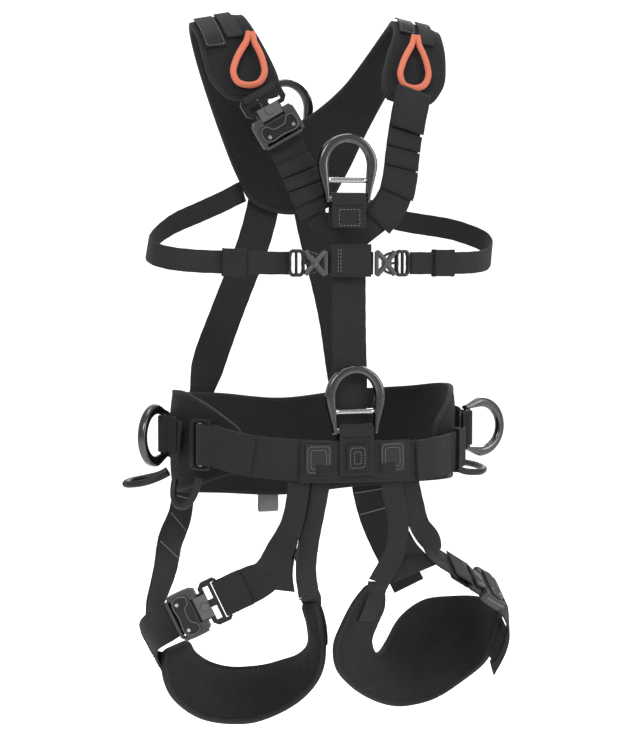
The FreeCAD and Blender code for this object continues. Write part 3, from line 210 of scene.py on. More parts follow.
def folded_band(radius, legs, width, origin, axes, arc_steps=14, leg_steps=14):
    """Strap folded round a bar along local X; its closed end points along local +Z."""
    profile = [(-radius, -legs[0] * (1 - i / leg_steps), [0, -1, 0]) for i in range(leg_steps)]
    for i in range(arc_steps + 1):
        angle = math.pi - math.pi * i / arc_steps
        y, z = math.cos(angle), math.sin(angle)
        profile.append((radius * y, radius * z, [0, y, z]))
    profile += [(radius, -legs[1] * i / leg_steps, [0, 1, 0]) for i in range(1, leg_steps + 1)]

    def turn(v):
        return [axes[0][i] * v[0] + axes[1][i] * v[1] + axes[2][i] * v[2] for i in range(3)]

    frames = []
    for i, (y, z, out) in enumerate(profile):
        before, after = profile[max(i - 1, 0)], profile[min(i + 1, len(profile) - 1)]
        along = unit([0, after[0] - before[0], after[1] - before[1]])
        across = unit(cross(along, out))
        frames.append(Frame(add(origin, turn([0, y, z])), turn(along), turn(across), turn(out),
                            width))
    return Band(frames)


# ---- materials ---------------------------------------------------------------------------------
class Shader:
    """A short way to lay out a material's node tree."""

    def __init__(self, name):
        self.mat = bpy.data.materials.new(name)
        self.mat.use_nodes = True
        self.tree = self.mat.node_tree
        self.tree.nodes.clear()
        output = self.add("ShaderNodeOutputMaterial")
        self.surface = self.add("ShaderNodeBsdfPrincipled")
        self.tree.links.new(self.surface.outputs["BSDF"], output.inputs["Surface"])

    def add(self, kind, **props):
        node = self.tree.nodes.new(kind)
        for key, value in props.items():
            setattr(node, key, value)
        return node

    def put(self, socket, value):
        if hasattr(value, "is_output"):
            self.tree.links.new(value, socket)
        else:
            socket.default_value = value

    def math(self, operation, a, b=None, clamp=False):
        node = self.add("ShaderNodeMath", operation=operation, use_clamp=clamp)
        self.put(node.inputs[0], a)
        if b is not None:
            self.put(node.inputs[1], b)
        return node.outputs[0]

    def plus(self, a, b, clamp=False):
        return self.math("ADD", a, b, clamp)

    def times(self, a, b, clamp=False):
        return self.math("MULTIPLY", a, b, clamp)

    def swing(self, value, amount, middle=0.5, clamp=False):
        """(value - middle) * amount."""
        return self.times(self.math("SUBTRACT", value, middle), amount, clamp)

    def ridges(self, value, pitch=1.0):
        """Rounded ridges, one to each pitch."""
        return self.math("ABSOLUTE", self.math("SINE", self.times(value, math.pi / pitch)))

    def noise(self, where, scale, detail, rough=0.55):
        node = self.add("ShaderNodeTexNoise")
        self.put(node.inputs["Vector"], where)
        self.put(node.inputs["Scale"], scale)
        self.put(node.inputs["Detail"], detail)
        self.put(node.inputs["Roughness"], rough)
        return node.outputs["Fac"]

    def mix(self, factor, a, b):
        node = self.add("ShaderNodeMix", data_type="RGBA")
        self.put(node.inputs[0], factor)
        self.put(node.inputs[6], a)
        self.put(node.inputs[7], b)
        return node.outputs[2]

    def ramp(self, value, start, end):
        """0 at start, 1 at end."""
        node = self.add("ShaderNodeMapRange", clamp=True)
        self.put(node.inputs[0], value)
        self.put(node.inputs[1], start)
        self.put(node.inputs[2], end)
        return node.outputs[0]

    def bump(self, height, strength, distance, normal=None):
        node = self.add("ShaderNodeBump")
        self.put(node.inputs["Strength"], strength)
        self.put(node.inputs["Distance"], distance)
        self.put(node.inputs["Height"], height)
        if normal is not None:
            self.put(node.inputs["Normal"], normal)
        return node.outputs["Normal"]

    def uv(self):
        """u and v, in millimetres across and along a piece."""
        source = self.add("ShaderNodeUVMap")
        split = self.add("ShaderNodeSeparateXYZ")
        self.tree.links.new(source.outputs["UV"], split.inputs[0])
        return split.outputs[0], split.outputs[1]

    def object_coords(self):
        return self.add("ShaderNodeTexCoord").outputs["Object"]

    def finish(self, base, rough, normal, metal=0.0, sheen=0.0, spec=0.5, coat=0.0):
        for socket, value in (
                ("Base Color", base), ("Roughness", rough), ("Metallic", metal),
                ("Normal", normal), ("Specular IOR Level", spec), ("Sheen Weight", sheen),
                ("Sheen Roughness", 0.45), ("Coat Weight", coat), ("Coat Roughness", 0.2)):
            self.put(self.surface.inputs[socket], value)
        return self.mat


def rgb(colour, gain=1.0):
    return tuple(min(x * gain, 1.0) for x in colour) + (1.0,)


def woven(name, dark, light, rib=1.5, column=2.6, strength=0.8, rough=0.78, dust=0.35):
    """Webbing: fine ribs across in columns that lean alternately, with lint and slight fading."""
    m = Shader(name)
    u, v = m.uv()
    where = m.object_coords()
    columns = m.math("DIVIDE", u, column)
    lean = m.times(m.math("PINGPONG", columns, 1.0), 1.1)
    yarn = m.ridges(m.plus(m.math("DIVIDE", v, rib), lean))
    ridge = m.ridges(columns)
    height = m.times(m.math("POWER", yarn, 0.6),
                     m.plus(m.times(m.math("POWER", ridge, 0.5), 0.6), 0.4))
    lint = m.noise(where, scale=900.0, detail=2.0)
    broad = m.noise(where, scale=26.0, detail=4.0)
    fleck = m.ramp(m.noise(where, scale=1600.0, detail=0.0), start=0.66, end=0.82)
    tone = m.plus(m.times(height, 0.62), m.swing(broad, dust))
    tone = m.plus(tone, m.times(fleck, 0.25), clamp=True)
    base = m.mix(tone, rgb(dark), rgb(light))
    relief = m.plus(height, m.times(lint, 0.35))
    roughness = m.plus(rough, m.swing(broad, 0.2))
    return m.finish(base, roughness, m.bump(relief, strength, distance=0.0005),
                    sheen=0.06, spec=0.25)


def spacer_mesh(name, dark, light, cell=3.0):
    """Padded spacer fabric: a close grid of small openings between knitted ridges."""
    m = Shader(name)
    keep_positive = 4000.0      # whole cells added so that the fraction is never of a negative
    u, v = m.uv()
    where = m.object_coords()
    column = m.math("DIVIDE", u, cell)
    row = m.math("DIVIDE", v, cell * 0.86)
    stagger = m.times(m.math("MODULO", m.math("FLOOR", m.plus(row, keep_positive)), 2.0), 0.5)
    x = m.math("SUBTRACT",
               m.math("FRACT", m.plus(m.plus(column, stagger), keep_positive)), 0.5)
    y = m.math("SUBTRACT", m.math("FRACT", m.plus(row, keep_positive)), 0.5)
    radius = m.math("SQRT", m.plus(m.times(x, x), m.times(y, y)))
    knit = m.ramp(radius, start=0.14, end=0.42)
    fine = m.noise(where, scale=1400.0, detail=1.0)
    broad = m.noise(where, scale=18.0, detail=4.0)
    tone = m.plus(m.times(knit, 0.75), m.swing(broad, 0.5), clamp=True)
    base = m.mix(tone, rgb(dark), rgb(light))
    relief = m.plus(knit, m.times(fine, 0.25))
    return m.finish(base, 0.8, m.bump(relief, strength=0.6, distance=0.0007),
                    sheen=0.04, spec=0.22)


def ribbed(name, dark, light, rib):
    """Elastic: raised cords side by side, with a knitted face."""
    m = Shader(name)
    _, v = m.uv()
    where = m.object_coords()
    cord = m.ridges(v, rib)
    knit = m.noise(where, scale=1500.0, detail=2.0)
    broad = m.noise(where, scale=40.0, detail=3.0)
    tone = m.plus(m.times(cord, 0.7), m.swing(broad, 0.4), clamp=True)
    base = m.mix(tone, rgb(dark), rgb(light))
    relief = m.plus(cord, m.times(knit, 0.3))
    return m.finish(base, 0.7, m.bump(relief, strength=0.6, distance=0.0006),
                    sheen=0.06, spec=0.3)


def hard(name, base, rough, metal=0.0, edge_brightening=1.6, grain=1400.0, grain_strength=0.12, edge=0.0006,
         coat=0.0, drift=0.18, broad_scale=30.0):
    """Moulded or forged part: soft edges lighter in colour, fine grain, handling marks.

    The brightening factor multiplies the base colour on the edges, edge is their radius in metres,
    drift varies the roughness.
    """
    m = Shader(name)
    where = m.object_coords()
    soft = m.add("ShaderNodeBevel", samples=6)
    soft.inputs["Radius"].default_value = edge
    geometry = m.add("ShaderNodeNewGeometry")
    agree = m.add("ShaderNodeVectorMath", operation="DOT_PRODUCT")
    m.put(agree.inputs[0], soft.outputs["Normal"])
    m.put(agree.inputs[1], geometry.outputs["Normal"])
    # rim is 1 on the rounded edges; the colour there is made lighter by the brightening factor,
    # more where the broad noise is high.
    rim = m.ramp(agree.outputs["Value"], start=0.995, end=0.88)
    broad = m.noise(where, broad_scale, detail=5.0)
    scuff = m.ramp(m.noise(where, scale=220.0, detail=4.0, rough=0.7), start=0.6, end=0.75)
    fine = m.noise(where, grain, detail=2.0)
    lighter_edge_mask = m.times(rim, m.plus(m.times(broad, 0.8), 0.25), clamp=True)
    colour = m.mix(m.swing(broad, 0.5, middle=0.3, clamp=True), rgb(base), rgb(base, 1.25))
    colour = m.mix(m.times(lighter_edge_mask, 0.7), colour, rgb(base, edge_brightening))
    colour = m.mix(m.times(scuff, 0.08), colour, rgb(base, 1.9))
    roughness = m.plus(rough, m.swing(broad, drift))
    roughness = m.plus(roughness, m.times(scuff, 0.08))
    normal = m.bump(fine, grain_strength, distance=0.0002, normal=soft.outputs["Normal"])
    return m.finish(colour, roughness, normal, metal=metal, coat=coat)


# "lining" and "forged_light" are part of the set but are on no piece.
MAT = {
    "web": woven("webbing_black", dark=(0.007, 0.007, 0.0075), light=(0.047, 0.047, 0.049)),
    "web_fine": woven("webbing_fine_black", dark=(0.008, 0.008, 0.0085),
                      light=(0.046, 0.046, 0.048), rib=1.1, column=1.9, strength=0.45),
    "web_soft": woven("webbing_smooth_black", dark=(0.0085, 0.0085, 0.009),
                      light=(0.038, 0.038, 0.040), rib=0.9, column=1.3, strength=0.3, dust=0.5),
    "web_grey": woven("webbing_grey", dark=(0.16, 0.16, 0.16), light=(0.42, 0.42, 0.41),
                      rib=1.2, column=2.2, rough=0.8),
    "coral": woven("webbing_coral", dark=(0.62, 0.13, 0.07), light=(0.93, 0.31, 0.19),
                   rib=1.1, column=1.8, strength=0.5, rough=0.68, dust=0.25),
    "mesh": spacer_mesh("pad_spacer_mesh", dark=(0.004, 0.004, 0.0045),
                        light=(0.027, 0.027, 0.0285)),
    "lining": spacer_mesh("pad_lining_mesh", dark=(0.003, 0.003, 0.0035),
                          light=(0.02, 0.02, 0.022), cell=4.2),
    "binding": woven("pad_binding", dark=(0.010, 0.010, 0.0105), light=(0.042, 0.042, 0.044),
                     rib=1.0, column=1.4, strength=0.35, dust=0.4),
    "elastic": ribbed("ribbed_elastic", dark=(0.003, 0.003, 0.0035),
                      light=(0.034, 0.034, 0.036), rib=1.9),
    "thread": woven("grey_thread", dark=(0.30, 0.30, 0.30), light=(0.62, 0.62, 0.61),
                    rib=0.5, column=0.6, strength=0.4, dust=0.3),
    "thread_dark": woven("charcoal_thread", dark=(0.010, 0.010, 0.011),
                         light=(0.036, 0.036, 0.038), rib=0.5, column=0.6, strength=0.4,
                         dust=0.3),
    "label": woven("label_cloth", dark=(0.008, 0.008, 0.009), light=(0.022, 0.022, 0.024),
                   rib=0.7, column=0.9, strength=0.2, rough=0.6, dust=0.3),
    "mark": woven("label_print", dark=(0.45, 0.45, 0.45), light=(0.78, 0.78, 0.77),
                  rib=0.7, column=0.9, strength=0.15, dust=0.3),
    "patch": woven("grey_patch", dark=(0.016, 0.016, 0.017), light=(0.062, 0.062, 0.064),
                   rib=1.3, column=2.1, strength=0.4, dust=0.4),
    "rubber": hard("moulded_rubber", base=(0.010, 0.010, 0.0105), rough=0.48, edge_brightening=2.2,
                   grain_strength=0.25),
    "forged": hard("forged_anthracite", base=(0.105, 0.107, 0.11), metal=1.0, rough=0.24,
                   edge_brightening=3.0, grain=2600.0, grain_strength=0.004, edge=0.0008, coat=0.4,
                   drift=0.04, broad_scale=9.0),
    "forged_light": hard("forged_polished", base=(0.42, 0.425, 0.43), metal=0.95, rough=0.22,
                         grain=900.0, grain_strength=0.05, edge=0.0009),
    "buckle_grey": hard("moulded_grey", base=(0.075, 0.0765, 0.079), rough=0.34, edge_brightening=2.2,
                        grain_strength=0.08),
    "thread_mid": woven("mid_grey_thread", dark=(0.13, 0.13, 0.13), light=(0.36, 0.36, 0.355),
                        rib=0.5, column=0.6, strength=0.4, dust=0.3),
    "steel": hard("steel_bar", base=(0.52, 0.525, 0.53), metal=1.0, rough=0.24, edge_brightening=1.3,
                  grain_strength=0.08, edge=0.0003),
    "cast": hard("cast_grey", base=(0.060, 0.061, 0.063), metal=0.3, rough=0.4, edge_brightening=2.1,
                 grain=1100.0, grain_strength=0.22),
    "cast_light": hard("cast_light_grey", base=(0.125, 0.127, 0.13), metal=0.3, rough=0.38,
                       edge_brightening=1.8, grain=1100.0, grain_strength=0.2),
    "plate": hard("cover_plate", base=(0.014, 0.0145, 0.0155), metal=0.3, rough=0.36, edge_brightening=5.0,
                  grain=1000.0, edge=0.0005),
    "frame": hard("buckle_frame", base=(0.015, 0.0155, 0.0165), metal=0.35, rough=0.33,
                  edge_brightening=5.5, grain=1000.0),
    "plastic": hard("moulded_black", base=(0.011, 0.011, 0.012), rough=0.38, edge_brightening=3.2,
                    grain_strength=0.2),
}


# ---- mesh building -----------------------------------------------------------------------------
def build(name, shape, mat, body=ROOT, node=None):
    """An object from (vertices, faces, UVs by face corner)."""
    verts, faces, corner_uvs = shape
    mesh = bpy.data.meshes.new(name)
    mesh.from_pydata([(x * MM, y * MM, z * MM) for x, y, z in verts], [], faces)
    layer = mesh.uv_layers.new(name="UVMap")
    flat_uvs = [uv for corners in corner_uvs for uv in corners]
    for k, uv in enumerate(flat_uvs):
        layer.data[k].uv = uv
    mesh.materials.append(MAT[mat])
    mesh.polygons.foreach_set("use_smooth", [True] * len(mesh.polygons))
    mesh.update()
    mesh.validate()
    obj = bpy.data.objects.new(name, mesh)
    bpy.context.scene.collection.objects.link(obj)
    work = bmesh.new()
    work.from_mesh(mesh)
    bmesh.ops.recalc_face_normals(work, faces=work.faces)
    work.to_mesh(mesh)
    work.free()
    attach(obj, body)
    if node:
        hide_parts(node)


def loft(rows, uvs, cap=True):
    """Skin over rings of points. A UV row may hold one more entry, for the seam."""
    verts = [p for r in rows for p in r]
    size = len(rows[0])
    faces, corner_uvs = [], []
    for i in range(len(rows) - 1):
        for j in range(size):
            k = (j + 1) % size
            faces.append((i * size + j, i * size + k, (i + 1) * size + k, (i + 1) * size + j))
            uv_k = j + 1 if j + 1 < len(uvs[i]) else k
            corner_uvs.append((uvs[i][j], uvs[i][uv_k], uvs[i + 1][uv_k], uvs[i + 1][j]))
    if cap:
        for i in (0, len(rows) - 1):
            order = range(size) if i else range(size - 1, -1, -1)
            faces.append(tuple(i * size + j for j in order))
            corner_uvs.append(tuple(uvs[i][j] for j in order))
    return verts, faces, corner_uvs


def closed_loft(rows, uvs):
    """Skin over rings that run round to the first again; UVs hold an extra row and column."""
    verts = [p for r in rows for p in r]
    count, size = len(rows), len(rows[0])
    faces, corner_uvs = [], []
    for i in range(count):
        for j in range(size):
            k, after = (j + 1) % size, (i + 1) % count
            faces.append((i * size + j, i * size + k, after * size + k, after * size + j))
            corner_uvs.append((uvs[i][j], uvs[i][j + 1], uvs[i + 1][j + 1], uvs[i + 1][j]))
    return verts, faces, corner_uvs


def band_mesh(name, band, mat="web", thickness=WEB, body=ROOT, node=None,
              wave=0.12, bow=0.0, seed=0):
    """Webbing with soft edges; wave ripples it and bow crowns it."""
    edge, steps = 0.8, 10
    phase = random.Random(seed + len(name)).random() * 6.28
    rows, uvs = [], []
    for f, station in zip(band.frames, band.stations):
        half, thick = f.width / 2, thickness / 2
        side = [(-half + edge + (f.width - 2 * edge) * k / steps, thick)
                for k in range(steps + 1)]
        side += [(half - edge * 0.3, thick * 0.72), (half, 0.0),
                 (half - edge * 0.3, -thick * 0.72)]
        row, uv = [], []
        for x, y in side + [(-x, -y) for x, y in side]:
            ripple = wave * (math.sin(station * 0.13 + phase) * 0.5
                             + math.sin(station * 0.31 + x * 0.12 + phase * 2)) * 0.5
            ripple += bow * (1 - (x / half) ** 2)
            jag = 0.12 * math.sin(station * 2.1 + phase) if abs(x) > half - 0.4 else 0.0
            row.append(add(add(f.centre, f.across, x + (jag if x > 0 else -jag)),
                           f.out, y + ripple))
            uv.append((x, station))
        rows.append(row)
        uvs.append(uv)
    build(name, loft(rows, uvs), mat, body, node)


def tube(name, points, radius, mat, body=ROOT, node=None, slot=None, count=90, sides=14,
         squeeze=1.0, depth_axis=(0.0, -1.0, 0.0), closed=False):
    """A cord or bar; squeeze scales its depth along depth_axis."""
    path = smooth([list(p) for p in points], count, closed)
    rows, uvs = [], []
    for i, (centre, station) in enumerate(zip(path, run_lengths(path))):
        before, after = path[max(i - 1, 0)], path[min(i + 1, count - 1)]
        if closed and i in (0, count - 1):
            before, after = path[count - 2], path[1]
        along = unit(sub(after, before))
        x = unit(cross(along, depth_axis))
        y = unit(cross(x, along))
        row, uv = [], []
        for j in range(sides):
            angle = 2 * math.pi * j / sides
            row.append(add(add(centre, x, radius * math.cos(angle)),
                           y, radius * squeeze * math.sin(angle)))
            uv.append((angle * radius, station))
        uv.append((2 * math.pi * radius, station))
        rows.append(row)
        uvs.append(uv)
    build(name, loft(rows, uvs, cap=not closed), mat, body, node)


def rod(name, place, points, radius, mat, body=ROOT, node=None, squeeze=1.0, count=16,
        closed=False, sides=16):
    """A moulded limb in local coordinates, squeezed or stretched in local Z."""
    tube(name, [place(p) for p in points], radius, mat, body, node, count=count, sides=sides,
         squeeze=squeeze, depth_axis=unit(sub(place([0, 0, 1]), place([0, 0, 0]))),
         closed=closed)


def dress(node, mat):
    """Give a CAD piece its material."""
    materials = NODES[node].data.materials
    materials.clear()
    materials.append(MAT[mat])


# ---- stitching ---------------------------------------------------------------------------------
STITCHES = {}       # (object name, material) -> stitches, built together at the end


def sewing(name, mat="thread_dark"):
    return (name + "_stitching", mat)


def stitch(key, point, along, out, length=STITCH_LENGTH, width=STITCH_WIDTH):
    STITCHES.setdefault(key, []).append((point, along, out, length, width))


def seam(key, band, offset, start, end, lift=1.15):
    """A running line of stitches along the strap."""
    count = max(1, int(abs(end - start) / STITCH_PITCH))
    for i in range(count):
        station = start + (end - start) * (i + 0.5) / count
        f = band.at(station, offset + 0.12 * rng.uniform(-1, 1), lift)
        stitch(key, f.centre, f.along, f.out)


def cross_seam(key, band, station, half, lift=1.15):
    """A line of stitches across the strap, half to each side of its middle."""
    count = max(1, int(2 * half / STITCH_PITCH))
    for i in range(count):
        f = band.at(station + 0.1 * rng.uniform(-1, 1), -half + 2 * half * (i + 0.5) / count,
                    lift)
        stitch(key, f.centre, f.across, f.out)


def box_seam(key, band, start, end, half, crossed=False, lift=1.15):
    """A rectangle of stitches, with both diagonals if crossed."""
    seam(key, band, -half, start, end, lift)
    seam(key, band, half, start, end, lift)
    cross_seam(key, band, start, half, lift)
    cross_seam(key, band, end, half, lift)
    if crossed:
        count = max(2, int(math.hypot(end - start, 2 * half) / STITCH_PITCH))
        for sign in (1, -1):
            for i in range(count):
                part = (i + 0.5) / count
                offset = -half + 2 * half * (part if sign > 0 else 1 - part)
                f = band.at(start + (end - start) * part, offset, lift + 0.1)
                diagonal = add(scaled(f.along, end - start), f.across, 2 * half * sign)
                stitch(key, f.centre, unit(diagonal), f.out)


def bar_tack(key, band, station, half, depth, pitch, lift=1.2):
    """Dense zigzag across the strap."""
    count = max(3, int(2 * half / pitch))
    for i in range(count):
        f = band.at(station, -half + 2 * half * (i + 0.5) / count, lift)
        lean = unit(add(f.along, f.across, 0.35 if i % 2 else -0.35))
        stitch(key, f.centre, lean, f.out, depth, 0.8)


def round_seam(key, band, width, inset, radius):
    """Stitches round a rounded rectangle, inset from the edges of a patch."""
    end, half = band.length - inset, width / 2 - inset
    points = []
    for station, offset, first in (
            (end - radius, half - radius, 0), (inset + radius, half - radius, 90),
            (inset + radius, -half + radius, 180), (end - radius, -half + radius, 270)):
        for k in range(7):
            angle = math.radians(first + 15 * k)
            points.append((station + radius * math.cos(angle),
                           offset + radius * math.sin(angle)))
    points.append(points[0])
    runs = run_lengths(points)
    count = max(6, int(runs[-1] / 2.9))
    for i in range(count):
        j, part = locate(runs, runs[-1] * (i + 0.5) / count)
        step_along, step_across = sub(points[j + 1], points[j])
        f = band.at(points[j][0] + step_along * part, points[j][1] + step_across * part, 0.65)
        size = math.hypot(step_along, step_across) or 1.0
        direction = [a * step_along / size + b * step_across / size
                     for a, b in zip(f.along, f.across)]
        stitch(key, f.centre, direction, f.out, length=2.1, width=0.8)


def sew_all():
    """Each stitch is a six-sided grain whose tapered ends dip into the cloth."""
    # position along the length, girth and dip of each ring
    stations = ((-0.5, 0.45, -0.35), (-0.2, 1.0, 0.0), (0.2, 1.0, 0.0), (0.5, 0.45, -0.35))
    for (name, mat), stitches in STITCHES.items():
        verts, faces, corner_uvs = [], [], []
        for point, along, out, length, width in stitches:
            along = unit(along)
            x = unit(cross(along, out))
            out = unit(cross(x, along))
            base = len(verts)
            for part, girth, dip in stations:
                for j in range(6):
                    angle = math.pi * j / 3
                    p = add(point, along, part * length)
                    p = add(p, x, girth * width / 2 * math.cos(angle))
                    verts.append(add(p, out, girth * width * 0.36 * math.sin(angle)
                                     + dip * width))
            for i in range(3):
                for j in range(6):
                    a, b = base + i * 6 + j, base + i * 6 + (j + 1) % 6
                    faces.append((a, b, b + 6, a + 6))
                    u = j * 0.4
                    corner_uvs.append(((u, i), (u + 0.4, i), (u + 0.4, i + 1), (u, i + 1)))
            faces.append(tuple(base + j for j in range(5, -1, -1)))
            faces.append(tuple(base + 18 + j for j in range(6)))
            corner_uvs += [((0, 0),) * 6] * 2
        build(name, (verts, faces, corner_uvs), mat)


# ---- sheets between two edges ------------------------------------------------------------------
class Sheet:
    """A surface between two edges: s runs along them, t from the first edge to the second."""

    def __init__(self, edge_a, edge_b, count=161):
        rows = [[(x + y) / 2 for x, y in zip(a, b)] + list(a) + list(b)
                for a, b in zip(edge_a, edge_b)]
        rows = smooth(rows, count)
        self.edge_a = [r[3:6] for r in rows]
        self.edge_b = [r[6:9] for r in rows]
        self.count = count

    def at(self, s, t):
        x = min(max(s, 0.0), 1.0) * (self.count - 1)
        i = min(int(x), self.count - 2)
        a = blend(self.edge_a[i], self.edge_a[i + 1], x - i)
        b = blend(self.edge_b[i], self.edge_b[i + 1], x - i)
        return blend(a, b, t)

    def normal(self, s, t):
        along = sub(self.at(s + 0.012, t), self.at(s - 0.012, t))
        across = sub(self.at(s, t + 0.05), self.at(s, t - 0.05))
        return unit(cross(across, along))

    def point(self, s, t, lift=0.0):
        return add(self.at(s, t), self.normal(s, t), lift)


def pad_mesh(name, sheet, thick, edge, mat, node, row_count, columns, seed=1):
    """Crowned padding between two edges, thinner at its border."""
    noise = random.Random(seed)
    phase = [noise.random() * 6.28 for _ in range(4)]
    stations = run_lengths([sheet.at(i / (row_count - 1), 0.5) for i in range(row_count)])
    rows, uvs = [], []
    for i, station in enumerate(stations):
        s = i / (row_count - 1)
        width = math.dist(sheet.at(s, 0), sheet.at(s, 1))
        end = min(1.0, min(s, 1 - s) * (row_count - 1) / 4.0)
        top, bottom, top_uv, bottom_uv = [], [], [], []
        for j in range(columns + 1):
            t = j / columns
            crown = (1 - abs(2 * t - 1) ** 3.2) * (0.35 + 0.65 * math.sqrt(end))
            height = edge / 2 + (thick - edge) / 2 * crown
            height += 0.25 * crown * (
                math.sin(station * 0.09 + phase[0]) * math.sin(t * width * 0.11 + phase[1])
                + 0.6 * math.sin(station * 0.23 + t * 5 + phase[2]))
            normal = sheet.normal(s, t)
            centre = sheet.at(s, t)
            top.append(add(centre, normal, height))
            bottom.append(add(centre, normal, -height))
            top_uv.append((t * width, station))
            bottom_uv.append((-t * width, station))
        rows.append(top + bottom[::-1])
        uvs.append(top_uv + bottom_uv[::-1])
    build(name, loft(rows, uvs), mat, node=node)


def outline_of(sheet, count):
    """Points round a sheet's border as (point, outward, normal)."""
    border = []

    def note(s, t, inner_s, inner_t, normal_t):
        point = sheet.at(s, t)
        outward = unit(sub(point, sheet.at(inner_s, inner_t)))
        border.append((point, outward, sheet.normal(s, normal_t)))

    for i in range(count):
        s = i / (count - 1)
        note(s, 0.0, s, 0.3, 0.02)
    for j in range(1, 8):
        note(1.0, j / 8, 0.97, j / 8, j / 8)
    for i in range(count):
        s = 1.0 - i / (count - 1)
        note(s, 1.0, s, 0.7, 0.98)
    for j in range(1, 8):
        note(0.0, 1 - j / 8, 0.03, 1 - j / 8, 1 - j / 8)
    return border


def binding_mesh(name, key, sheet, count):
    """Tape folded over a pad's border all the way round, stitched on both faces."""
    half, reach, stitch_inset = 3.1, 5.0, 3.0
    border = outline_of(sheet, count)
    centres = [b[0] for b in border]
    outwards = [b[1] for b in border]
    normals = [b[2] for b in border]
    size = len(border)

    def evened(rows):
        return [[(a + 2 * b + c) / 4 for a, b, c in zip(rows[i - 1], rows[i], rows[(i + 1) % size])]
                for i in range(size)]

    for _ in range(2):          # round the corners off
        outwards = [unit(v) for v in evened(outwards)]
        centres = evened(centres)
    rows = []
    for centre, outward, normal in zip(centres, outwards, normals):
        row = []
        for j in range(12):
            angle = 2 * math.pi * j / 12
            x = math.cos(angle)
            row.append(add(add(centre, outward, 0.9 + (1.5 * x if x > 0 else reach * x)),
                           normal, half * signed_power(math.sin(angle), 0.6)))
        rows.append(row)
    uvs = [[(j * 1.2, station) for j in range(13)]
           for station in run_lengths(centres + [centres[0]])]
    build(name, closed_loft(rows, uvs), "binding")
    gone = 0.0
    for i in range(size):
        here, after = centres[i], centres[(i + 1) % size]
        gone += math.dist(here, after)
        if gone >= 3.8:
            gone = 0.0
            for sign in (1, -1):
                p = add(add(here, outwards[i], -stitch_inset), normals[i], sign * half * 0.93)
                stitch(key, p, sub(after, here), scaled(normals[i], sign), width=0.8)


def bound_pad(name, binding, sewn, sheet, thick, rows, border, seed=1):
    pad_mesh(name, sheet, thick, 4.5, "mesh", name, rows, 20, seed)
    binding_mesh(binding, sewing(sewn), sheet, border)


def patch_band(sheet, s0, s1, t0, t1, lift):
    """Frames running in s along a patch on a sheet's back face."""
    count, middle = 16, (t0 + t1) / 2
    frames = []
    for i in range(count):
        s = s0 + (s1 - s0) * i / (count - 1)
        a, b = sheet.point(s, t0, lift), sheet.point(s, t1, lift)
        step = (s1 - s0) * 0.05
        along = unit(sub(sheet.at(s + step, middle), sheet.at(s - step, middle)))
        frames.append(Frame(sheet.point(s, middle, lift), along, unit(sub(b, a)),
                            scaled(sheet.normal(s, middle), -1), math.dist(a, b)))
    return Band(frames)


def patch_mesh(name, sheet, s0, s1, t0, t1, lift, thick, mat, node, slot):
    """A flat patch on a sheet's back face."""
    row_count, columns = 18, 12
    rows, uvs = [], []
    for i in range(row_count):
        s = s0 + (s1 - s0) * i / (row_count - 1)
        outer, inner, uv = [], [], []
        for j in range(columns + 1):
            t = t0 + (t1 - t0) * j / columns
            outer.append(sheet.point(s, t, lift - thick / 2))
            inner.append(sheet.point(s, t, lift + thick / 2))
            here = sheet.at(s, t)
            uv.append((math.dist(sheet.at(s, t0), here), math.dist(sheet.at(s0, t), here)))
        rows.append(outer + inner[::-1])
        uvs.append(uv + uv[::-1])
    build(name, loft(rows, uvs), mat, node=node)


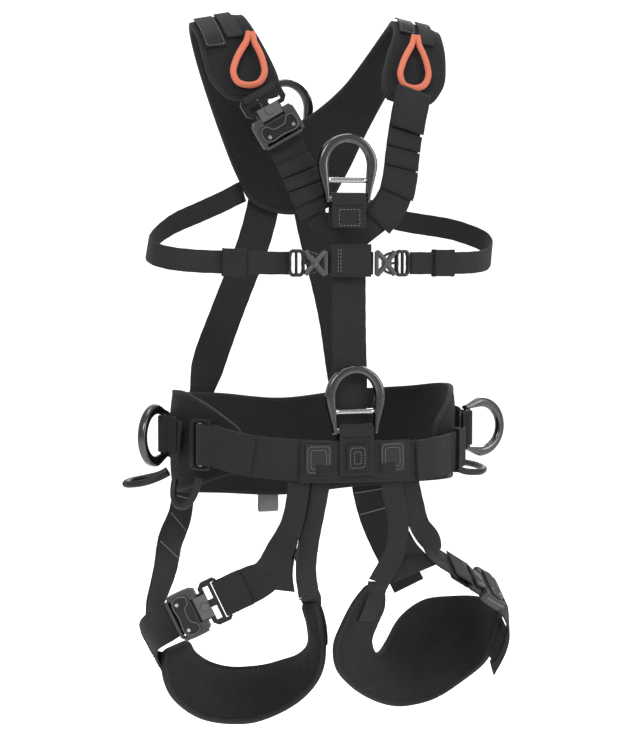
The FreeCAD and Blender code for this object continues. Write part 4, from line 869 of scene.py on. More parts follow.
# ---- webbing -----------------------------------------------------------------------------------
# Centre lines: x, y, z, facing azimuth, facing elevation and, where it changes, a width factor.
PATHS = {
    "front_strap": [
        [6.2, 37.8, 176.3, 0, 0], [6, 35.5, 153.2, 0, 0], [4.4, 30.5, 115.8, 0, 0],
        [0.9, 20, 54.7, 0, 0], [-0.8, 13, 16.7, 0, 0], [-1.4, 10, -10.6, 0, 0],
        [0.1, 9, -54.5, 0, 0], [0.1, 9, -94.2, 0, 0]],
    "rear_strap_left": [
        [-24, 222.5, 238, -180, 0], [-28, 222, 214, -180, 0], [-46, 222, 150, -180, 0],
        [-59, 222, 119, -178, 0], [-78, 223, 72, -181, 0], [-97, 227, 18, -184, 0],
        [-106.6, 223.2, -14, -150.7, 0], [-110, 221.2, -32, -149.4, 0],
        [-111.2, 220.5, -46, -148.9, 0]],
    "rear_strap_right": [
        [24, 222.5, 238, 180, 0], [26, 222, 214, 180, 0], [40, 222, 150, 180, 0],
        [49, 222, 119, 178, 0], [61, 226, 72, 181, 0], [73, 236.8, 18, 184, 0],
        [80.6, 235.3, -14, 159.3, 0], [84, 233.9, -32, 158.3, 0], [85.2, 233.4, -46, 157.9, 0]],
    "shoulder_strap_left": [
        [-74.82, 52.67, 290.46, -7.53, 3.7], [-68.07, 50.88, 278.32, -7.53, 3.7],
        [-62.89, 48.57, 268.84, -7.53, 3.7], [-58.9, 45.5, 257.9, -6, 12],
        [-50.4, 40, 236.1, -4, 10], [-43.1, 34.6, 215.4, -2, 8], [-38.2, 32, 203.4, 0, 3],
        [-33.3, 31.2, 193.1, 0, 0]],
    "shoulder_strap_right": [
        [90.7, 58, 329.7, 8, 20], [83.1, 51.5, 306.8, 8, 18], [75.9, 45.5, 280.9, 7, 14],
        [70.5, 41, 255.1, 6, 12], [65.5, 36, 230.6, 4, 10], [58.7, 32.6, 210.6, 2, 6],
        [47.5, 31.2, 195, 0, 0], [37.9, 31.2, 184, 0, 0]],
    "chest_strap_left": [
        [-62, 33.5, 139, -9, 0], [-93.8, 38.2, 139.3, -10, 0], [-137.1, 45.5, 140.4, -13, 0],
        [-171.1, 52.5, 142.1, -22, 0], [-189.1, 60, 144.3, -35, 0], [-203.6, 76, 149, -60, 2],
        [-205.4, 98, 155.4, -88, 5], [-193.2, 121, 164.7, -112, 8],
        [-166.7, 145, 179.8, -135, 10], [-119.1, 178, 197.2, -152, 8],
        [-84.4, 200, 209.8, -162, 6], [-60.7, 216.5, 219.3, -170, 3],
        [-56.2, 219, 220.9, -172, 2]],
    "chest_strap_right": [
        [78.6, 33.5, 138.4, 9, 0], [104.6, 37.5, 138.2, 10, 0], [142.1, 44.5, 138.2, 18, 0],
        [170.6, 58, 139, 45, 0], [196.9, 82, 142.7, 70, 2], [211.5, 105, 151.2, 95, 5],
        [212.8, 130, 162.8, 118, 8], [195.1, 151, 172.9, 137, 10], [125.9, 192, 189, 160, 6],
        [95.3, 212, 201.1, 168, 3], [66.1, 219.5, 207.6, 172, 2]],
    "chest_center_webbing": [
        [-21.6, 26.5, 138.9, -8, 0], [3.7, 25.2, 138.8, 0, 0], [31.4, 26.5, 138.6, 8, 0]],
    "waist_belt_webbing": [
        [-173.7, 85.4, -57, -65.3, 0], [-179.5, 105.4, -54, -76.7, 0],
        [-178.5, 132.6, -52.5, -92.8, 0], [-164.7, 171.6, -55, -117.3, 0],
        [-133.6, 209.1, -59, -139.9, 0], [-87, 236.7, -63, -157.8, 0],
        [0, 253.2, -68, -180, 0], [87, 236.7, -63, -202.2, 0],
        [133.6, 209.1, -59, -220.1, 0], [164.4, 171.4, -55, -242.7, 0],
        [175.2, 128, -53, -270, 0], [169.9, 97.2, -55, -289.5, 0],
        [162.1, 80.5, -60, -299.8, 0]],
    "belt_webbing_left": [
        [-113.5, 11.18, -68.5, -28, 0], [-128.36, 23.55, -65.5, -40, 0],
        [-140.45, 38.94, -62.2, -50, 0], [-152.83, 50.77, -59.2, -54, 0],
        [-160.44, 60.06, -59.2, -54, 0], [-161.27, 63.49, -59.2, -99, 0],
        [-159.43, 66.49, -59.2, -144, 0], [-156, 67.31, -59.2, -189, 0],
        [-153, 65.47, -59.2, -234, 0], [-145.95, 55.76, -59.2, -234, 0],
        [-138, 41, -62.2, -230, 0], [-126.3, 26, -65.5, -220, 0], [-112, 14, -68.5, -208, 0],
        [-93.8, 5.5, -70.8, -194, 0], [-63.4, 0.8, -73.7, -184, 0], [-34.9, 0, -75.6, -181, 0],
        [-6.9, 0, -77.1, -180, 0]],
    "belt_overlay_right": [
        [74.28, 1.92, -79.5, 16, 0], [99.3, 10.79, -77.9, 32, 0],
        [124.68, 25.86, -75.8, 48, 0]],
    "riser_left_outer": [
        [-62.9, 5.4, -65.1, 0, 0, 0.62], [-62.9, 5.4, -93.4, 0, 0, 0.62],
        [-65.5, 4.8, -117.3, -2, 0, 0.62], [-72.6, 2.6, -143.9, -5, 0, 0.64],
        [-85.6, 0, -168, -12, 0, 0.74], [-112.06, -16.57, -197.2, -20.47, -1.45, 0.92],
        [-124.37, -13.41, -203.26, -20.47, -1.45, 1], [-136.58, -8.68, -209.5, -20.47, -1.45, 1]],
    "riser_left_inner": [
        [-37.5, 8.6, -69.6, 0, 0], [-38, 8.6, -97, 0, 0], [-43.1, 10.5, -130, 0, 0],
        [-48.3, 14, -163.2, 3, -5], [-48.9, 22, -197.6, 6, -15], [-39.7, 39, -227.6, 10, -25]],
    "riser_right_outer": [
        [67.3, 9, -73.5, 0, 0, 0.62], [67.4, 9, -99.2, 0, 0, 0.62],
        [73.9, 8.6, -129.6, 3, 0, 0.62], [81.4, 8.8, -153.5, 10, 0, 0.64],
        [93.7, 6.2, -171.7, 20, 0, 0.72], [97.7, 3.08, -188.03, 49.81, 43.67, 0.9],
        [109.89, 6.07, -194.31, 49.81, 43.67, 1], [121.94, 9.65, -201.53, 49.81, 43.67, 1]],
    "riser_right_inner": [
        [43, 5.2, -68.9, 0, 0], [44.2, 5.2, -97.8, 0, 0], [50.3, 5.2, -128.1, 0, 0],
        [53.9, 5, -150.5, 0, 0], [53.7, 6.4, -164.1, 0, 0], [52.9, 12.5, -181.7, -3, -3],
        [46.4, 20, -200.5, -8, -10], [40.9, 30, -217.5, -12, -18]],
    "leg_wrap_left": [
        [-180.23, 17.65, -233.14, -20.47, -1.45], [-192.01, 22.22, -239.16, -20.47, -1.45],
        [-202.12, 26.13, -244.32, -20.47, -1.45], [-212, 34, -252.2, -50, 0],
        [-218.8, 50, -262.4, -65, -5], [-214.5, 70, -278.6, -80, -12],
        [-200.5, 92, -298.4, -95, -20]],
    "leg_wrap_right": [
        [163.21, 27.47, -235.25, 49.81, 43.67], [174.85, 30.93, -242.23, 49.81, 43.67],
        [184.82, 33.9, -248.21, 49.81, 43.67], [206.9, 43, -271.4, 70, -6],
        [210.8, 52, -292.1, 72, -12], [208.6, 62, -312.7, 74, -18],
        [199.7, 70, -334.9, 76, -22]],
    "rear_leg_strap_left": [
        [-130.2, 207.1, -56, -140.4, 0], [-131.3, 206.4, -98, -139.9, 0],
        [-141.7, 196, -155, -150, 0], [-160.2, 172, -181.1, -158, 0],
        [-174.3, 146, -206.4, -156, 0], [-191.1, 118, -229.4, -140, 0],
        [-205.4, 98, -247.6, -120, 0], [-212.3, 86, -265.1, -108, 0]],
    "rear_leg_strap_right": [
        [103, 225.2, -58, 152, 0], [101.9, 225.9, -102, 152.4, 0], [115.8, 222, -176.8, 150, 0],
        [127.1, 214, -207, 150, 0], [139.3, 205, -234.6, 152, 0], [148.3, 198, -256.1, 152, 0]],
    "belt_main_right": [
        [14.2, 0, -77.9, 0, 0], [44.2, 0.8, -78.7, 3, 0], [73.4, 5, -79.5, 16, 0],
        [97.6, 13.5, -77.9, 32, 0], [122.3, 28, -75.8, 48, 0], [143.5, 45, -73.8, 58, 0],
        [159.5, 61, -71.9, 66, 0]],
}
BANDS = {}


def strap(name, key, width, node, mat="web", wave=0.12):
    BANDS[key] = path_band(PATHS[key], width)
    band_mesh(name, BANDS[key], mat, node=node, wave=wave, seed=len(key))


for name in ("front_strap", "shoulder_strap_left", "shoulder_strap_right"):
    strap(name, name, WIDE, name)
strap("chest_center_webbing", "chest_center_webbing", NARROW, "chest_center_webbing", "web_fine")
for name in ("waist_belt_webbing", "belt_webbing_left"):
    strap(name, name, BELT, name, wave=0.05)
for layer in ("main", "overlay"):
    strap("belt_webbing_right_" + layer, "belt_%s_right" % layer, BELT, "belt_webbing_right",
          wave=0.05)
for place_name, width, mat in (("outer", WIDE, "web"), ("inner", NARROW, "web_fine")):
    for side in SIDES:
        key = "riser_%s_%s" % (side, place_name)
        strap("leg_" + key, key, width, "leg_risers", mat, wave=0.06)
for side in SIDES:
    strap("rear_strap_" + side, "rear_strap_" + side, WIDE, "rear_straps")
    strap("chest_strap_" + side, "chest_strap_" + side, NARROW, "chest_straps", "web_fine")
    strap("leg_wrap_strap_" + side, "leg_wrap_" + side, WIDE, "leg_wrap_straps")
    strap("rear_leg_strap_" + side, "rear_leg_strap_" + side, WIDE, "rear_leg_straps")

# heights of the bar tacks on the rear leg straps
REAR_TACK_HEIGHTS = {"left": (-133.92, -162.0, -190.08), "right": (-112.968, -139.104, -164.376)}
for side, heights in REAR_TACK_HEIGHTS.items():
    band = BANDS["rear_leg_strap_" + side]
    for height in heights:
        station = min((abs(f.centre[2] - height), s)
                      for f, s in zip(band.frames, band.stations))[1]
        bar_tack(sewing("rear_leg_strap_" + side, "thread"), band, station, half=17.5,
                 depth=1.6, pitch=1.5, lift=-1.3)


def sew_strap_ends(side):
    """Boxes of stitches where straps are sewn to one another."""
    box_seam(sewing("rear_leg_strap_top_" + side), BANDS["rear_leg_strap_" + side],
             3, 28, half=16, crossed=True)
    band = BANDS["rear_strap_" + side]
    box_seam(sewing("rear_strap_" + side), band, band.length - 40, band.length - 6, half=16,
             crossed=True)
    band = BANDS["leg_wrap_" + side]
    box_seam(sewing("leg_wrap_" + side), band, band.length - 34, band.length - 6, half=16,
             crossed=True)
    band = BANDS["riser_%s_outer" % side]
    box_seam(sewing("leg_riser_" + side), band, 4, 26, half=9)
    seam(sewing("leg_riser_" + side), band, 0, band.length - 40, band.length - 2)
    box_seam(sewing("leg_riser_inner_" + side), BANDS["riser_%s_inner" % side], 4, 26, half=9)
    band = BANDS["shoulder_strap_" + side]
    box_seam(sewing("shoulder_strap_" + side), band, band.length - 30, band.length - 4, half=16)


for side in SIDES:
    sew_strap_ends(side)
band = BANDS["front_strap"]
for station in (26, 32):
    bar_tack(sewing("front_strap"), band, station, half=17, depth=2.0, pitch=1.3)
box_seam(sewing("front_strap"), band, band.length - 50, band.length - 22, half=16)

# sleeves over the shoulder straps: start and end as fractions of the strap
SLEEVES = [
    ("left", 0.4, 0.55), ("left", 0.565, 0.7), ("left", 0.715, 0.86),
    ("right", 0.315, 0.43), ("right", 0.44, 0.57), ("right", 0.58, 0.76)]
for number, (side, start, end) in enumerate(SLEEVES, 1):
    band = BANDS["shoulder_strap_" + side]
    sleeve = band.part(start * band.length, end * band.length, width=42.4, lift=3.2)
    band_mesh("strap_sleeve_%d" % number, sleeve, "web_soft", node="strap_sleeves", wave=0.1,
              bow=0.35, seed=number)
    for station in (2.2, sleeve.length - 2.2):
        cross_seam(sewing("strap_sleeves"), sleeve, station, half=19, lift=1.5)

band = BANDS["shoulder_strap_right"]
cover = band.part(0.0, 0.3 * band.length, width=42.0, lift=6.4)
band_mesh("shoulder_cover_right", cover, "web_soft", 2.2, node="shoulder_cover_right",
          bow=0.6, wave=0.15)
box_seam(sewing("shoulder_cover_right"), cover, 3, cover.length - 3, half=18, lift=1.5)

# ---- chest loop, belt front panel and its patches ----------------------------------------------
# rows as in PATHS
CENTRE_LOOP = [[-19.9, 21.6, 141.9, -4, 0], [3.2, 20.8, 141.8, 0, 0], [27.1, 21.6, 141.7, 4, 0]]
FRONT_PANEL = [
    [-64, -2.2, -75.2, -4, 0], [-32, -2.9, -76.4, -1, 0], [0, -2.9, -77.2, 0, 0],
    [32, -2.6, -77.6, 2, 0], [64, -0.1, -77.8, 9, 0]]
SIDE_SEAMS = ((2.4, 5.0), (6.2, 3.4))       # inset and corner radius of each round seam
# name, path, width, material, round seams, tag's span as fractions of the length
PATCHES = [
    ("front_patch_left", [[-59, -4.4, -73, -3, 0], [-44, -4.6, -73.3, -2, 0],
                          [-29, -4.8, -73.6, -1, 0]], 33.0, "patch", SIDE_SEAMS, (0.42, 1.0)),
    ("ring_loop_front_patch", [[-12, -8.3, -72.5, 0, 0], [0, -8.3, -72.5, 0, 0],
                               [12, -8.3, -72.5, 0, 0]],
     29.0, "web_soft", ((3.6, 3.6), (8.0, 2.0)), None),
    ("front_patch_right", [[28, -4.5, -73.6, 1.5, 0], [43, -3.7, -73.3, 4, 0],
                           [58, -2.6, -73, 7, 0]], 33.0, "patch", SIDE_SEAMS, (0.0, 0.58))]

chest_loop = path_band(CENTRE_LOOP, 36.0, 24)
band_mesh("chest_center_loop", chest_loop, "web_soft", 2.0, node="chest_center_loop", bow=0.3,
          wave=0.05)
for offset in (-15.4, 15.4):
    seam(sewing("chest_center_loop"), chest_loop, offset, 2, chest_loop.length - 2, lift=1.3)
for station in (8, 11):
    cross_seam(sewing("chest_center_loop", "thread_mid"), chest_loop, station, half=13, lift=1.3)

panel = path_band(FRONT_PANEL, BELT, 44)
band_mesh("belt_front_panel", panel, node="belt_front_panel", wave=0.05)
for offset in (20, -20):
    seam(sewing("belt_front_panel"), panel, offset, 2, panel.length - 2)


def front_patch(name, path, width, mat, seams, tag_span):
    """A stitched patch, with a narrow tag along its lower part if tag_span is given."""
    tag_width, tag_drop = 9.0, 11.0
    band = path_band(path, width, 16)
    band_mesh(name, band, mat, 0.9, node="front_label_patches", wave=0.02)
    for inset, radius in seams:
        round_seam(sewing(name, "thread_mid"), band, width, inset, radius)
    if tag_span:
        tag = band.part(band.length * tag_span[0], band.length * tag_span[1], tag_width, 1.1)
        frames = [f._replace(centre=add(f.centre, f.across,
                                        -tag_drop if f.across[2] > 0 else tag_drop))
                  for f in tag.frames]
        band_mesh(name + "_tag", Band(frames), "label", 0.7, wave=0.02)


for patch in PATCHES:
    front_patch(*patch)

# ---- gussets between straps --------------------------------------------------------------------
# name, node, first edge, second edge
GUSSETS = [
    ("sternal_gusset", "sternal_gusset",
     [[-43.2, 34.3, 192.5], [-39.7, 34.3, 181.6], [-14.9, 33.2, 157.6]],
     [[67.9, 34.3, 200.7], [60.7, 34.3, 186.3], [24.9, 33.2, 157.6]]),
    ("leg_gusset_left", "leg_gussets",
     [[-69.1, 7.5, -161.2], [-79.1, 5.5, -177.9], [-94.6, 3.8, -196.5], [-107.4, 3.2, -210.9]],
     [[-62.9, 10.5, -163.1], [-64.9, 14.5, -180], [-65.7, 19, -202.8], [-60.1, 28, -222.3]]),
    ("leg_gusset_right", "leg_gussets",
     [[65.1, 16, -159.3], [62.8, 19, -181], [57.6, 26.5, -204.4], [55.5, 36, -221.6]],
     [[69.9, 13, -159.1], [78.2, 12.5, -172.9], [90.2, 12, -185.9], [104.5, 14, -198.3]])]


def gusset(name, node, edge_a, edge_b):
    """A thin web sewn along both edges on both faces."""
    sheet = Sheet(edge_a, edge_b, 61)
    pad_mesh(name, sheet, 1.9, 1.4, "web_soft", node, row_count=24, columns=10)
    for t in (0.06, 0.94):
        for k in range(14):
            s = (k + 0.5) / 14
            along = sub(sheet.at(s + 0.02, t), sheet.at(s - 0.02, t))
            for sign in (1, -1):
                stitch(sewing(name), sheet.point(s, t, sign * 1.05), along,
                       scaled(sheet.normal(s, t), sign))


for row in GUSSETS:
    gusset(*row)

# ---- padding -----------------------------------------------------------------------------------
PAD_THICK, WAIST_PAD_THICK = 10.0, 11.0
# The +X half of the shoulder yoke's edges, from the middle of the back to the front.
YOKE_INNER = [
    [0, 210, 300], [15, 209, 303], [38, 206, 319], [63, 198, 343], [77, 188, 363],
    [89, 170, 386], [95, 140, 407], [92, 118, 412], [88, 100, 400], [73, 86, 368],
    [64, 76, 341], [65, 67, 322]]
YOKE_OUTER = [
    [0, 214, 196], [44, 212, 208], [66, 207, 240], [88, 200, 287], [107, 188, 329],
    [125, 172, 368], [140, 148, 397], [147, 122, 402], [145, 103, 388], [142, 88, 362],
    [136, 80, 337], [120, 71, 318]]
# first edge and second edge of each leg pad
LEG_PADS = {
    "left": [
        [[-163.1, 92, -282.7], [-152.9, 112, -296.7], [-136.5, 135, -311],
         [-115.1, 158, -324.8], [-90, 176, -335], [-63, 187, -339.8], [-39.7, 186, -339],
         [-22.8, 170, -331], [-13, 145, -320.2], [-10.4, 118, -303.4], [-20, 90, -275.4],
         [-35.9, 66, -245.5]],
        [[-198.6, 66, -286.7], [-197, 70, -309.9], [-186.3, 82, -335.6], [-164.3, 98, -358.9],
         [-137.9, 112, -375.7], [-106.2, 122, -385], [-76.3, 125, -386.7],
         [-48.3, 118, -376.9], [-25.2, 104, -358.8], [-10.4, 88, -332.2], [-10.4, 70, -292.9],
         [-26.7, 52, -240.8]]],
    "right": [
        [[53.3, 47, -233.5], [55.3, 54, -249.2], [52.6, 66, -268.7], [51.8, 84, -291.9],
         [57.1, 94, -305.8], [66.1, 104, -315.4], [79.3, 118, -316.8], [96.3, 138, -308.8],
         [123.7, 164, -287.8], [161.8, 180, -272.3], [192.6, 175, -269.7], [213.7, 140, -265],
         [216.2, 84, -269.9]],
        [[30.9, 38, -222.7], [18.1, 40, -238.1], [4, 46, -267.1], [-2.2, 54, -293.8],
         [4.9, 64, -319.2], [24.9, 78, -340.9], [56.3, 95, -362.7], [92.6, 113, -378.4],
         [127.4, 126, -382.3], [162.3, 132, -375.6], [188.6, 124, -356.5],
         [203.4, 100, -331.7], [207.5, 68, -287.8]]],
}
# angle round the hips, height of the upper edge, height of the lower edge
WAIST = [
    [-45, -43.5, -86.5], [-60, -21, -98.5], [-80, -6.5, -111.5], [-95, -6.5, -117],
    [-120, -12.5, -124.5], [-150, -18.5, -133], [-180, -27.5, -140.5], [-210, -18.5, -133],
    [-240, -12.5, -124.5], [-265, -6.5, -117], [-280, -6.5, -111.5], [-300, -21, -98.5],
    [-315, -43.5, -86.5]]
HIP_HALF_WIDTH, HIP_HALF_DEPTH, HIP_FRONT = 170.0, 120.0, 8.0   # ellipse, and y of its front


def hip_point(degrees, lift, z):
    """Point and outward direction on the hip ellipse, degrees from the front towards +X."""
    angle = math.radians(degrees)
    x, y = HIP_HALF_DEPTH * math.sin(angle), -HIP_HALF_WIDTH * math.cos(angle)
    size = math.hypot(x, y)
    point = [HIP_HALF_WIDTH * math.sin(angle) + lift * x / size,
             HIP_HALF_DEPTH + HIP_FRONT - HIP_HALF_DEPTH * math.cos(angle) + lift * y / size, z]
    return point, [x / size, y / size, 0.0]


def with_mirror(half):
    return [[-x, y, z] for x, y, z in reversed(half[1:])] + half


yoke = Sheet(with_mirror(YOKE_INNER), with_mirror(YOKE_OUTER), 241)
bound_pad("shoulder_yoke_pad", "shoulder_yoke_binding", "shoulder_yoke", yoke, PAD_THICK,
          rows=230, border=200)
leg_sheets = {}
for side in SIDES:
    leg_sheets[side] = Sheet(*LEG_PADS[side])
    bound_pad("leg_pad_" + side, "leg_pad_binding_" + side, "leg_pad_" + side, leg_sheets[side],
              PAD_THICK, rows=150, border=140, seed=3)

waist_lift = -WAIST_PAD_THICK / 2 - 0.5
waist = Sheet([hip_point(angle, waist_lift, upper)[0] for angle, upper, _ in WAIST],
              [hip_point(angle, waist_lift, lower)[0] for angle, _, lower in WAIST], 241)
bound_pad("waist_pad", "waist_pad_binding", "waist_pad", waist, WAIST_PAD_THICK, rows=230,
          border=200, seed=5)


def gusset_neck(side):
    """The leg gusset runs on upwards between the two risers, edge to nearest edge."""
    outer, inner = BANDS["riser_%s_outer" % side], BANDS["riser_%s_inner" % side]
    edge_a, edge_b = [], []
    for k in range(15):
        station = inner.length * (0.02 + 0.93 * k / 14)
        pairs = []
        for inner_offset in (-9.5, 9.5):
            a = inner.at(station, inner_offset, -1.6).centre
            for outer_offset in (-16.5, 16.5):
                b = outer.at(outer.nearest(a), outer_offset, -1.6).centre
                pairs.append((math.dist(a, b), a, b))
        gap, a, b = min(pairs, key=lambda pair: pair[0])
        if gap > 34.0:
            break
        edge_a.append(a)
        edge_b.append(b)
    if len(edge_a) > 4:
        pad_mesh("leg_gusset_%s_neck" % side, Sheet(edge_a, edge_b, 61), 1.3, 1.0, "web_soft",
                 "leg_gussets", row_count=40, columns=6)


for side in SIDES:
    gusset_neck(side)


def pad_end_flap(side, start, reach):
    """Joins a leg pad's outer end to the wrap strap over it; reach is signed, in the pad's s."""
    sheet, wrap = leg_sheets[side], BANDS["leg_wrap_" + side]
    edge_a, edge_b = [], []
    for k in range(17):
        if k < 9:           # across the pad's end
            s, t = start + reach * 0.02, 0.06 + 0.9 * k / 8
        else:               # then back along its second edge
            s, t = start + reach * (0.02 + 0.98 * (k - 8) / 8), 0.96
        inner = sheet.at(s + reach * 0.25, min(max(t, 0.1), 0.9))
        a = sheet.at(s, t)
        a = add(a, unit(sub(inner, a)), 3.0)
        f = wrap.at(wrap.nearest(a))
        sign = 1 if dot(f.out, sub(a, f.centre)) > 0 else -1
        b = add(f.centre, f.out, sign * 1.7)
        if math.dist(a, b) < 46:
            edge_a.append(a)
            edge_b.append(b)
    if len(edge_a) > 5:
        pad_mesh("leg_pad_%s_end_flap" % side, Sheet(edge_a, edge_b, 61), 2.0, 1.4, "web_soft",
                 "leg_pad_" + side, row_count=40, columns=8)


pad_end_flap("left", 0.0, 0.10)
pad_end_flap("right", 1.0, -0.10)


def inner_riser_end(side, start, reach):
    """The inner riser runs on over the pad's inner end and is sewn down there."""
    sheet = leg_sheets[side]
    riser = BANDS["riser_%s_inner" % side]
    tip = riser.at(riser.length)
    middle = [sum(sheet.at(k / 20, 0.5)[i] for k in range(21)) / 21 for i in range(3)]
    first = math.copysign(0.004, reach)
    rows = [(tip.centre, tip.across, tip.out)]
    for k in range(15):
        s = start + (first + (reach - first) * k / 14)
        out = sheet.normal(s, 0.5)
        if dot(out, sub(sheet.at(s, 0.5), middle)) <= 0:
            out = scaled(out, -1)
        across = unit(sub(sheet.at(s, 0.7), sheet.at(s, 0.3)))
        if dot(across, tip.across) < 0:
            across = scaled(across, -1)
        lift = 6.6 * (0.55 + 0.45 * min(1.0, k / 4))
        rows.append((add(sheet.at(s, 0.5), out, lift), across, out))
    frames = []
    for k, (centre, guide, out) in enumerate(rows):
        before, after = rows[max(k - 1, 0)][0], rows[min(k + 1, len(rows) - 1)][0]
        along = unit(sub(after, before))
        across = unit(cross(out, along))
        if dot(across, guide) <= 0:
            across = scaled(across, -1)
        frames.append(Frame(centre, along, across, out, NARROW))
    band = Band(frames)
    band = band.part(0.0, band.length, NARROW, count=26)
    band_mesh("leg_riser_%s_inner_end" % side, band, "web_fine", node="leg_risers", wave=0.05)
    box_seam(sewing("leg_riser_inner_end_" + side), band, band.length - 26, band.length - 3,
             half=9.5, crossed=True)


inner_riser_end("left", 1.0, -0.16)
inner_riser_end("right", 0.0, 0.15)

# ---- webbing loops of the three upright rings --------------------------------------------------
X_AXIS, Y_AXIS, Z_AXIS = [1, 0, 0], [0, 1, 0], [0, 0, 1]
RING_CENTRES = {
    "ventral_ring": [0, 0, 0], "sternal_ring": [-0.5, 22.5, 251.9],
    "dorsal_ring": [0.0, 228.0, 326.0]}
RING_BAR_DROP = 42.5            # base bar below the ring's centre
RING_BAR_RADIUS = 4.0
RING_LOOP_RADIUS = RING_BAR_RADIUS + 0.7 + WEB / 2
ring_loops = {}
# lengths of the loop's front and back legs
for ring, legs in (("ventral_ring", (50, 50)), ("sternal_ring", (32, 30)),
                   ("dorsal_ring", (42, 42))):
    band = folded_band(RING_LOOP_RADIUS, legs, WIDE,
                       add(RING_CENTRES[ring], Z_AXIS, -RING_BAR_DROP), (X_AXIS, Y_AXIS, Z_AXIS))
    ring_loops[ring] = band
    band_mesh(ring + "_loop", band, node=ring + "_loop", wave=0.04)
    for station in (legs[0] - 8, band.length - legs[1] + 8):
        bar_tack(sewing(ring + "_loop"), band, station, half=17, depth=2.4, pitch=1.2)
box_seam(sewing("sternal_ring_loop", "thread_mid"), ring_loops["sternal_ring"], 2.5, 20,
         half=12, lift=1.1)
box_seam(sewing("ventral_ring_loop"), ring_loops["ventral_ring"], 20, 38, half=15, lift=1.1)

# ---- metal buckles -----------------------------------------------------------------------------
# origin, along, out, length of the frame loop's legs
BUCKLES = {
    "shoulder_buckle": [[-81.7, 45.9, 301.4], [-0.483, 0.12, 0.867], [-0.172, -0.975, 0.139], 4],
    "leg_buckle_left": [[-173.2, 5.5, -228.2], [0.842, -0.326, 0.43], [-0.468, -0.88, -0.087],
                        28],
    "leg_buckle_right": [[158.1, 20.4, -223.2], [-0.831, -0.247, 0.498], [0.785, -0.366, 0.5],
                         25]}
BUCKLE_BAR_Y, BUCKLE_BAR_RADIUS = 24.5, 2.0
COVER_Z = 7.5
# outline of the cover plate: x, y; it ends on its first point
COVER_OUTLINE = [
    (-19, -11), (-12.5, -11), (-7.5, -16.5), (0, -17.5), (7.5, -16.5), (12.5, -11), (19, -11),
    (20.5, -14), (20.5, -23), (18, -26), (0, -26.4), (-18, -26), (-20.5, -23), (-20.5, -14),
    (-19, -11)]
BOSS_RADIUS, BOSS_Y, BOSS_Z = 4.7, 3.6, 5.3


def buckle_base(name, origin, along, out, leg):
    """Materials of the CAD pieces and the webbing loop on the frame's bar."""
    place, x, y, z = local_axes(origin, along, out)
    for piece, mat in (("_body", "cast"), ("_frame", "frame"), ("_latch", "cast_light")):
        dress(name + piece, mat)
    band = folded_band(BUCKLE_BAR_RADIUS + 0.7 + WEB / 2, (leg, leg), WIDE,
                       place([0, BUCKLE_BAR_Y, 0]), (x, z, scaled(y, -1)),
                       arc_steps=12, leg_steps=8)
    band_mesh(name + "_frame_loop", band, body=name + "_frame", node=name + "_frame_loop",
              wave=0.03)


def buckle_trim(name, origin, along, out):
    """Cover outline, rim round the latch boss and the ribs down both sides."""
    place = local_axes(origin, along, out)[0]
    rod(name + "_cover_outline", place, [[x, y, COVER_Z] for x, y in COVER_OUTLINE], 0.55,
        "cast_light", count=120, closed=True, sides=10)
    circle = [[BOSS_RADIUS * math.cos(math.pi * k / 8),
               BOSS_Y + BOSS_RADIUS * math.sin(math.pi * k / 8), BOSS_Z] for k in range(17)]
    rod(name + "_latch_boss_rim", place, circle, 0.55, "cast", name + "_latch", count=40,
        closed=True, sides=10)
    for number, sign in ((1, 1), (2, -1)):
        rib = ((24.6, -31), (25.2, -20), (25.2, -12), (24.6, -3))
        rod("%s_side_rib_%d" % (name, number), place, [[sign * x, y, 1.5] for x, y in rib], 1.5,
            "cast_light")


for name, row in BUCKLES.items():
    buckle_base(name, *row)
dress("buckle_covers", "plate")
for name, row in BUCKLES.items():
    buckle_trim(name, *row[:3])
dress("buckle_rivets", "steel")

# ---- forged rings ------------------------------------------------------------------------------
UPRIGHT_FOOT, HIP_FOOT = 46.9, 29.5     # depth of the feet below the ring's centre
HIP_BAR_DROP = 26.0
HIP_BAR_OFF = 7.6               # bar's distance off the strap that its holder lies on
# side, angle round the hips, height, swing of the ring in degrees, lift of the holder
HIP_RINGS = [("left", -80.5, -50.0, 33.0, 12.2), ("right", 76.0, -54.0, 34.0, 5.2)]


